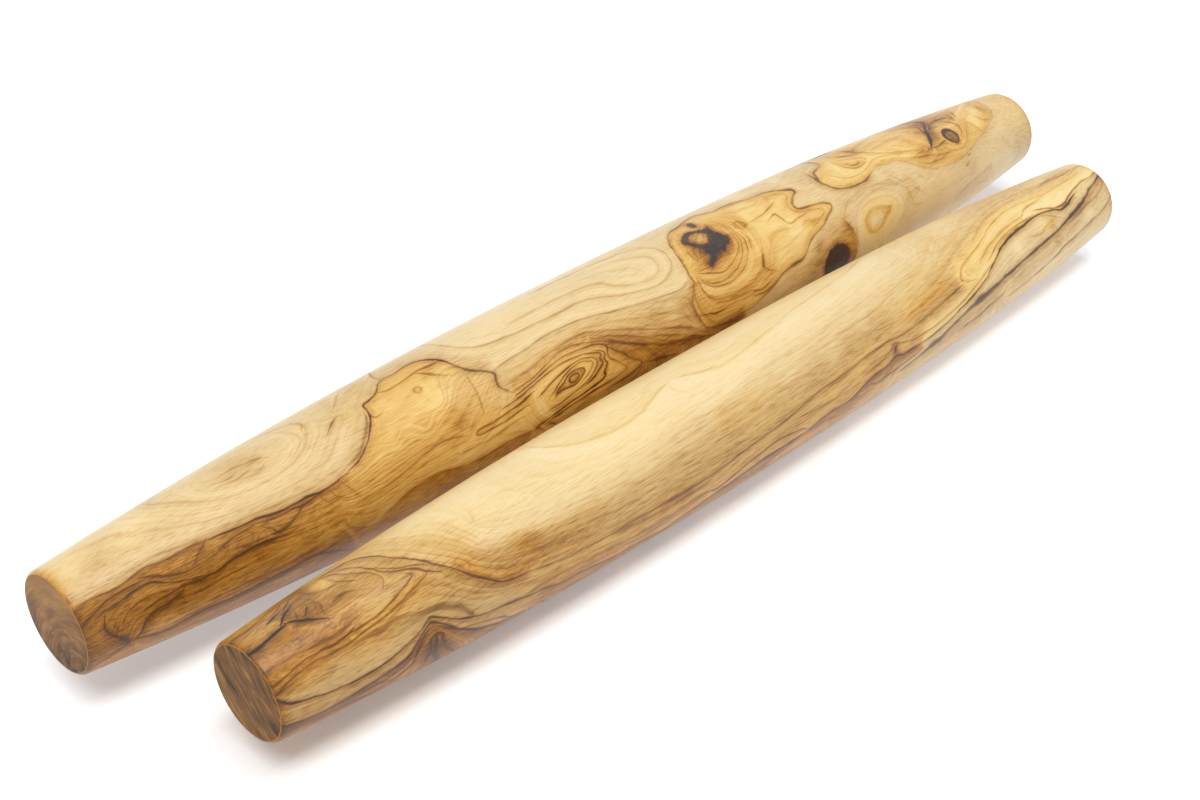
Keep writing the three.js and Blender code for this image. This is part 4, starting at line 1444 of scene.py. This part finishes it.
# %% Short pin: the peak of veins near the left end
SHORT_PEAK = [
    vein(0.6, 0.4, (-169, 28), (-160, 23), (-157, 15), (-154, 4), (-152, -6), (-149, -15), (-146, -24),
        (-143, -34), (-140, -42), level=12, above=warm(0.34), below=warm(0.4)),
    vein(0.55, 0.35, (-140, -42), (-137.5, -50), (-135, -57), (-132, -64), (-128, -72), (-124, -75.5),
        (-118, -77), level=12, above=golden(0.52), below=warm(0.5)),
    vein(0.45, 0.4, (-118, -77), (-110, -81), (-100, -84), (-92, -85.5), (-80, -86), (-65, -86),
        (-55, -87), (-48, -87), (-40, -86), (-30, -83), (-20, -81), (-10, -79), (0, -75), (10, -72),
        (20, -70.5), (30, -68), (40, -66.5), (47, -66), (55, -68), (65, -66), (75, -63.5), (85, -60),
        (93, -57.5), level=12, above=warm(0.41), below=warm(0.35)),
    vein(0.45, 0.35, (-170, 28), (-166, 18), (-164.5, 8), (-162, 0), (-159, -10), (-158, -20),
        (-160, -27), level=13.5),
    vein(0.6, 0.4, (-165, 22), (-161, 8), (-158.5, -4), (-157, -13), (-155, -18), (-152, -22),
        (-149, -27), (-147, -33), (-144, -39), level=13),
    vein(0.4, 0.4, (-168.5, 20), (-168, 8), (-166.5, 0), (-164, -6)),
    vein(0.5, 0.35, (-158, -5), (-154, -16), (-150, -22), (-146.5, -27)),
    vein(0.6, 0.4, (-200, -52), (-196, -50.5), (-190, -46.5), (-184, -46), (-180, -47), (-176, -46),
        (-173, -43.5), level=14, above=golden(0.56), below=golden(0.5)),
    vein(0.5, 0.35, (-175, -46), (-170, -45.5), (-165, -44.5), (-160, -40.5), (-155, -36), (-152, -32.5),
        (-150.5, -29.5), (-152, -27), level=(14, 13.5), above=warm(0.4), below=golden(0.34)),
    vein(0.5, 0.45, (-200, -62), (-196, -57), (-192, -53.5), (-187, -51), (-183, -52.5), (-178, -53.5),
        (-172, -51), (-168, -50), (-163, -48.5), (-157, -44), (-151, -39.5), (-147, -36), level=(14.5, 13)),
    vein(0.4, 1.0, (-176, -57), (-168, -56.5), (-163, -55), (-159, -58), (-155, -61), (-151, -63),
        (-147, -66), (-143, -72), (-141, -78), (-139.5, -84), (-138, -90), level=15),
    vein(0.35, 0.8, (-164, -53), (-160, -50), (-157, -46), (-152, -43)),
    vein(0.75, 0.38, (-200, -66), (-199, -70), (-197, -76), (-193, -80.5), (-187, -85), (-180, -88),
        (-173, -88.5), (-168, -87), (-162, -82), (-157, -77), (-154, -72), (-152, -69), (-150, -72),
        (-147, -77), (-143, -84), (-139, -89), (-134, -93), (-128, -95.5), (-122, -97.5), (-118, -100.5),
        (-113, -101.5), level=16, above=grey(0.4), below=warm(0.46)),
    vein(0.75, 0.5, (-200, -100), (-196, -103), (-192, -106), (-187, -107), (-180, -106), (-175, -103),
        (-168, -100), (-163, -97), (-160, -92), (-158, -86), (-156, -80), (-154, -76), (-152.5, -73),
        (-150.5, -76), (-148, -82), (-145.5, -89), (-143, -95), (-139, -102), (-135, -108), (-131, -113),
        (-127, -117), (-118, -121), level=19, above=warm(0.42), below=golden(0.66)),
    vein(0.45, 0.4, (-200, -104.5), (-190, -110), (-180, -111), (-170, -109), (-163, -103), (-160, -97)),
    vein(0.4, 0.5, (-200, -114), (-190, -118), (-180, -122), above=golden(0.66), below=golden(0.66)),
    vein(0.75, 0.45, (-159, -103), (-158, -96), (-157, -89), (-155.7, -83), (-153.7, -78), (-152.3, -76.5)),
    vein(0.6, 0.6, (-200, -109), (-194, -111), (-188, -114), (-180, -117), (-173, -119), (-168, -118),
        (-164, -113), (-160, -107), (-158, -103), level=21),
    vein(0.75, 0.5, (-153.8, -91), (-153, -87.5), (-151, -86), (-149.3, -87.5), (-148.7, -92)),
    vein(0.75, 0.7, (-153, -92), (-153.5, -105), (-154.5, -115), (-155, -126), level=23),
    vein(0.75, 1.1, (-151.3, -89), (-151.5, -105), (-150, -118), (-149, -128)),
    vein(0.7, 0.6, (-149.7, -90), (-148, -105), (-145.5, -115), (-143, -126), level=23),
    vein(0.7, 0.4, (-150.5, -79), (-147, -87), (-144, -93.5), (-141, -99.5), (-137.5, -106), (-134, -112)),
    vein(0.45, 0.45, (-144, -94), (-138, -98), (-133, -103), (-129, -107), (-126, -112), (-123, -118)),
    vein(0.45, 0.6, (-178, -106), (-172, -108), (-167, -112), (-164, -120)),
]
SHORT_PEAK_SPOTS = [
    Spot(-151, -105, golden(0.84)), Spot(-156, -112, golden(0.53)),
    Spot(-180, -72, grey(0.42), level=15.3, size=4), Spot(-153, -56, warm(0.43), level=14),
    Spot(-185, -96, grey(0.37)), Spot(-163, -90, warm(0.37)), Spot(-133, -84, grey(0.35)),
    Spot(-150, -110, golden(0.84)), Spot(-158, -66, grey(0.41)), Spot(-130, -58, warm(0.62)),
    Spot(-178, -112, golden(0.68)),
]
print(len(SHORT_PEAK), "strokes at the peak of veins")

# %% [markdown]
# To the right of the peak the veins run on along the pin, in a golden band below the pale top.

# %% Short pin: lower side
SHORT_LOWER = [
    vein(0.3, 0.8, (-85, -88), (-72, -91), (-60, -91.5), (-48, -91), (-42, -88)),
    vein(0.35, 0.6, (-66, -88.5), (-58, -88), (-52, -89), above=golden(0.49), below=golden(0.49)),
    vein(0.35, 1.0, (-120, -97), (-110, -95), (-100, -97), (-90, -98.5), (-80, -101), (-70, -102),
        (-60, -103), (-50, -102), (-44, -102.5), level=14.5, above=golden(0.37), below=golden(0.47)),
    vein(0.55, 0.45, (-44, -102.5), (-41, -105), (-36, -103), (-30, -99), (-24, -96), (-18, -94),
        (-12, -93), (-6, -94), (0, -97), (3, -101), level=(14.5, 16), above=golden(0.42),
        below=golden(0.36)),
    vein(0.65, 0.5, (-113, -101.5), (-110, -104), (-106, -107), (-98, -108), (-92, -111), (-86, -114),
        (-79, -114.5), level=(16, 17), above=golden(0.44), below=golden(0.65)),
    vein(0.6, 0.6, (-80, -116), (-72, -117), (-66, -119), (-60, -122)),
    vein(0.75, 0.45, (-62, -120), (-52, -115), (-45, -112), (-38, -110), (-32, -108), (-26, -106),
        (-20, -104.5), (-14, -104), (-6, -104), (2, -102.5), (8, -100), (15, -97.5), (20, -98.5),
        (25, -98), (29, -94.5), (33, -91), (38, -88), (44, -87), (48, -84), (50, -82.5), (53, -85),
        (58, -86), (65, -86), level=17, above=golden(0.39), below=golden(0.58)),
    vein(0.85, 0.5, (65, -86), (72, -84.5), (80, -82), (88, -77.5), (95, -74), (102, -69), (107, -64),
        (110, -59), (115, -53), (120, -47), (125, -43), (130, -40.5), (136, -39), (142, -37),
        (147, -35.5), (152, -36), (158, -38), (161, -41), (164, -44), (168, -43), (172, -39.5),
        (177, -35), level=17, above=golden(0.1), below=grey(0.24)),
    vein(0.35, 1.4, (-36, -114), (-30, -112), (-25, -114)),
    vein(0.35, 1.2, (-22, -116), (-16, -114), (-10, -110)),
    vein(0.35, 1.0, (14, -105), (20, -110), (29, -113)),
    vein(0.6, 0.5, (36, -95), (39, -98), (45, -97), (52, -96), (58, -94.5), (66, -92)),
    vein(0.3, 0.6, (0, -84), (12, -86), (22, -87), (30, -86)),
]
SHORT_LOWER_SPOTS = [
    Spot(-90, -91, golden(0.34)), Spot(-20, -88, golden(0.39)), Spot(15, -78, golden(0.33), level=13),
    Spot(30, -74, golden(0.29)), Spot(-20, -112, golden(0.6)), Spot(5, -112, golden(0.54)),
    Spot(38, -97, golden(0.53)), Spot(40, -106, warm(0.42)), Spot(-105, -116, golden(0.55)),
    Spot(70, -72, golden(0.17)),
]
print(len(SHORT_LOWER), "strokes on the lower side of the short pin")

# %% [markdown]
# The bold vein rises to the right end. It swells here and there, which is drawn as short wide strokes over
# it. Thinner veins keep it company.

# %% Short pin: right half
SHORT_RIGHT = [
    vein(0.9, 0.65, (52, -102), (58, -101), (63, -99), (68, -97.5), (74, -95), (80, -90), (85, -88),
        (90, -85.5), (95, -82.5), (102, -80), (110, -77.5), (118, -75), (124, -73), (132, -70.5),
        (140, -67.5), (147, -66), (152, -65), (157, -63), (163, -59), (170, -55), (176, -51), (181, -47),
        (185, -43), (187, -40), (191, -37), (195, -32.5), (200, -26), level=20, above=grey(0.23),
        below=grey(0.33)),
    vein(0.62, 1.4, (64, -99), (74, -95), (84, -88.5), (95, -82.5), (106, -79), (117, -75.5)),
    vein(0.85, 1.3, (115, -76), (117.5, -75), (120, -74.3), black=0.3),
    vein(0.85, 1.3, (151, -65), (155, -64), (159, -62), black=0.3),
    vein(0.85, 1.2, (184.5, -43), (186.2, -40.3), (188, -39), black=0.3),
    vein(0.5, 0.9, (88, -101), (97, -100), (103, -98.5), (110, -94), (116, -92)),
    vein(0.55, 0.6, (138, -97.5), (147, -95), (153, -92), (158, -88), (162, -86), (168, -85), (174, -82),
        (180, -80), (186, -77.5), (192, -74), (196, -70), (200, -61), level=23, above=grey(0.2),
        below=warm(0.16)),
    vein(0.3, 0.6, (120, -100), (130, -100), (140, -98), level=23),
    vein(0.45, 0.4, (60, -79), (75, -77.5), (85, -74), (93, -70.5), (100, -65), (104, -62), (111, -55),
        level=15.5),
    vein(0.4, 0.35, (30, -83), (40, -79.5), (46, -76), (49, -71), (53, -74), (60, -77.5), (70, -77)),
    vein(0.33, 0.35, (100, -60), (95.5, -57.5), (93, -54), (93, -51), (94.5, -46), (97, -42), (103, -38),
        (110, -33), (116, -28), (122, -22.5), (128, -18), (134, -14.5), (140, -13), (148, -13),
        (156, -14.5), (162, -16.5), (168, -15.5), (175, -14), (182, -12.5), (192, -9), level=11,
        above=golden(0.17), below=golden(0.11)),
    vein(0.25, 0.9, (110, -26), (118, -18), (124, -12.5), (130, -9), (136, -6.5), (144, -5), (155, -6),
        level=10, above=warm(0.23), below=golden(0.13)),
    vein(0.35, 0.45, (141, -29), (144, -24), (148, -21.5), (156, -20), (162, -17.5), below=golden(0.03)),
    vein(0.35, 0.5, (106, -48), (112, -41), (118, -36.5), (126, -32), (134, -29.5), (142, -28), level=13,
        above=golden(0.13), below=golden(0.15)),
    vein(0.45, 0.35, (110, -51), (115, -46), (120, -41), (126, -37), (132, -35), (139, -34), (147, -33),
        level=15),
    vein(0.4, 0.3, (118, -45.5), (124, -40), (131, -37.5), (138, -36.5)),
    vein(0.6, 0.4, (150, -29), (158, -35), (161, -38.5), (165, -40), (169, -38.5), (173, -34), (178, -30),
        (183, -26), (187, -24), (192, -24.5), (196, -23), (200, -19), level=15, above=golden(0.03)),
    vein(0.4, 0.4, (149, -37), (155, -42), (158, -47), (161, -51)),
    vein(0.35, 0.45, (139, -52.5), (143, -55), (146, -56), (150, -52), (153, -50)),
    vein(0.3, 0.4, (163, -65), (172, -60), (180, -55.5), (187, -53), (192, -49), (196, -43), (200, -36),
        level=21),
    vein(0.35, 0.7, (152, -71), (155, -75), (157, -80)),
    vein(0.25, 0.4, (160, -79), (165, -72), (173, -66)),
    vein(0.35, 0.5, (165, -2), (175, 1), (185, 0), (192, 3), (200, 3)),
]
SHORT_RIGHT_SPOTS = [
    Spot(154, -55, golden(0.35)), Spot(156, -73, warm(0.36)), Spot(170, -25, golden(0.03), level=13.5),
    Spot(130, -55, warm(0.07)), Spot(150, -45, warm(0.15)), Spot(179, -5, golden(0.25)),
    Spot(150, -80, warm(0.26)), Spot(180, -68, warm(0.11)), Spot(180, -95, grey(0.17)),
    # The spot at 170 along and 12 around is pale wood made paler still, as painted highlight near the top
    Spot(120, -88, warm(0.19)), Spot(82, -53, golden(0.38)), Spot(170, 12, warm(0.19)),
    Spot(98, -50, golden(0.3), level=12), Spot(150, -10, golden(0.07)), Spot(85, -92, warm(0.43)),
]
SHORT_KNOTS = [
    Knot([(48.6, -76), (49, -73.5), (50, -73.5), (50.4, -76), (50, -79), (49, -79)]),
]
print(len(SHORT_RIGHT), "strokes at the right of the short pin")

# %% [markdown]
# As on the long pin, the side that faces away has long veins from end to end.

# %% Short pin: the side that faces away
SHORT_BACK = [
    # The band high on the back is pale wood made paler still, as painted highlight where the top catches the
    # light
    vein(0.2, 0.5, (-200, 62), (-120, 58), (-40, 66), (50, 60), (130, 70), (200, 60), level=5,
        above=warm(0.12), below=warm(0.06)),
    vein(0.5, 0.5, (-200, 95), (-110, 104), (-30, 92), (60, 100), (140, 92), (200, 98), level=9,
        above=golden(0.26), below=warm(0.12)),
    vein(0.65, 0.5, (-200, 130), (-130, 122), (-40, 136), (50, 126), (130, 138), (200, 130), level=13,
        above=warm(0.33), below=golden(0.26)),
    vein(0.7, 0.7, (-200, 168), (-100, 160), (0, 172), (100, 162), (200, 170), level=17,
        above=golden(0.36), below=warm(0.16)),
    vein(0.5, 0.5, (-200, 204), (-110, 198), (10, 206), (110, 196), (200, 204), level=20,
        above=warm(0.33), below=golden(0.52)),
]
SHORT_STROKES = SHORT_TOP + SHORT_BURL + SHORT_PEAK + SHORT_LOWER + SHORT_RIGHT + SHORT_BACK
SHORT_SPOTS = SHORT_TOP_SPOTS + SHORT_BURL_SPOTS + SHORT_PEAK_SPOTS + SHORT_LOWER_SPOTS + SHORT_RIGHT_SPOTS
print(len(SHORT_STROKES), "strokes in all on the short pin")

# %% [markdown]
# ## Putting the figure on the pins
# Each vertex learns its place on the unrolled surface, and from that its attributes. The end faces are cut
# across the grain. They show rings about the heart of the tree, which lay off to one side of each pin.

# %% Attributes on the pins
# Where the heart of the tree lay, in mm to the front and up from the middle of each pin
HEARTS = {"long_pin": (12, -16), "short_pin": (45, 40)}
# How dark the end faces are at their lowest and highest point
END_TONES = {"long_pin": (0.72, 0.27), "short_pin": (0.58, 0.62)}
FACE_DEPTH = 0.05
# Oil soaks in deeper at the ends and leaves an amber rim
RIM_WIDTH = 1.5
RIM_TONE = 0.3


def end_grain(pin, local):
    """Rows of distance from the tree's heart and place round it in mm, and how dark the end face is."""
    heart_front, heart_up = HEARTS[pin.name]
    front = -local[:, 1] - heart_front
    up = local[:, 2] - heart_up
    from_heart = np.hypot(front, up)
    round_heart = np.arctan2(up, front) * math.hypot(heart_front, heart_up)
    on_face = np.abs(local[:, 0]) > half_length(pin) - FACE_DEPTH
    end_radius = pin.end / 2 / MM
    tone = np.interp(local[:, 2], (-end_radius, end_radius), END_TONES[pin.name])
    return np.stack([from_heart, round_heart, on_face * tone], axis=1).astype(np.float32)


def put_figure(pin, turned, strokes, spots, outlines):
    """Writes the figure of one pin to the attributes of its mesh."""
    mesh = turned.data
    places = np.zeros(len(mesh.vertices) * 3, np.float32)
    mesh.vertices.foreach_get("co", places)
    local = (places.reshape(-1, 3).astype(float) - np.array(pin.middle)) / MM
    around = np.degrees(np.arctan2(local[:, 1], local[:, 2]))
    around = (around - FIRST_AROUND) % 360 + FIRST_AROUND
    points = np.stack([local[:, 0], around], axis=1)
    flat_places = unrolled(pin, points)
    fields = figure_fields(pin, strokes, spots, points)
    rim = np.exp((np.abs(local[:, 0]) - half_length(pin)) / RIM_WIDTH)
    fields[:, TONE] += RIM_TONE * rim
    fields[:, GOLD] += (1 - fields[:, GOLD]) * rim
    vectors = {"figure": fields, "end_grain": end_grain(pin, local)}
    for i, layer in enumerate(vein_layers(pin, strokes, flat_places)):
        vectors[f"vein_{i}"] = layer
    for name, rows in vectors.items():
        mesh.attributes.new(name, "FLOAT_VECTOR", "POINT").data.foreach_set("vector", rows.ravel())
    rims = knot_rims(pin, outlines, flat_places)
    mesh.attributes.new("knot", "FLOAT", "POINT").data.foreach_set("value", rims)
    print(pin.name, "tone from", fields[:, TONE].min(), "to", fields[:, TONE].max())


put_figure(pins[0], turned_pins[0], LONG_STROKES, LONG_SPOTS, LONG_KNOTS)
put_figure(pins[1], turned_pins[1], SHORT_STROKES, SHORT_SPOTS, SHORT_KNOTS)

# %% [markdown]
# ## Joining the frame
# Each turned pin rides on the body of its own name and takes the place of the CAD solid there.

# %% Tell the frame
for pin, turned in zip(pins, turned_pins):
    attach(turned, pin.name)
    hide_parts(pin.name)
    print(turned.name, "rides on", pin.name)

# %% [markdown]
# ## The table
# A plain white surface under the lowest point of the pins. Seen by the camera or in a reflection it also
# glows a little, so that it is pure white away from the pins and still keeps their soft shadow. The glow
# grows to the right and to the back, as painted light that lightens their shadow there.

# %% Table
TABLE_SIZE = 6.0
TABLE_CORNERS = ((-1, -1), (1, -1), (1, 1), (-1, 1))
TABLE_WHITE = "FEFEFE"
TABLE_GLOW_COLOUR = "F0F8FF"
TABLE_GLOW = 0.45
# How fast the glow, painted light over the pins' shadow, grows in a metre along, back and up, and its least
# and most
GLOW_GROWTH = (1.0, 3.0, 0.0)
GLOW_RANGE = (0.1, 0.42)

table_material = bpy.data.materials.new("White paper, matt")
table_material.use_nodes = True
paper = table_material.node_tree
paper.nodes.clear()
paper_place = paper.nodes.new("ShaderNodeNewGeometry").outputs["Position"]
glow = node(paper, VECTOR_MATH, paper_place, GLOW_GROWTH, operation="DOT_PRODUCT", out="Value")
glow = node(paper, MATH, glow, TABLE_GLOW, operation="ADD")
glow = node(paper, "ShaderNodeClamp", glow, *GLOW_RANGE)
glow = node(paper, MATH, looking(paper), glow, operation="MULTIPLY")
paper_white = node(paper, "ShaderNodeBsdfDiffuse", colour(TABLE_WHITE))
paper_glow = node(paper, "ShaderNodeEmission", colour(TABLE_GLOW_COLOUR), glow)
node(paper, "ShaderNodeOutputMaterial", node(paper, "ShaderNodeAddShader", paper_white, paper_glow))

visual_box = [list(corner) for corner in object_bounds()]
half_table = TABLE_SIZE / 2
table_height = visual_box[0][2]
corners = [(x * half_table, y * half_table, table_height) for x, y in TABLE_CORNERS]
table_mesh = bpy.data.meshes.new("Table")
table_mesh.from_pydata(corners, [], [(0, 1, 2, 3)])
table_mesh.materials.append(table_material)
table = bpy.data.objects.new("Table", table_mesh)
bpy.context.scene.collection.objects.link(table)
print("table at", round(table_height / MM, 3), "mm")

# %% [markdown]
# ## Size
# The visual pins should be as large as the CAD model, so the visual box is printed. Round pins reach a
# little past the flats of the CAD pins, by about a twentieth of a millimetre.

# %% Sizes and finish
print("visual box in metres:", visual_box)
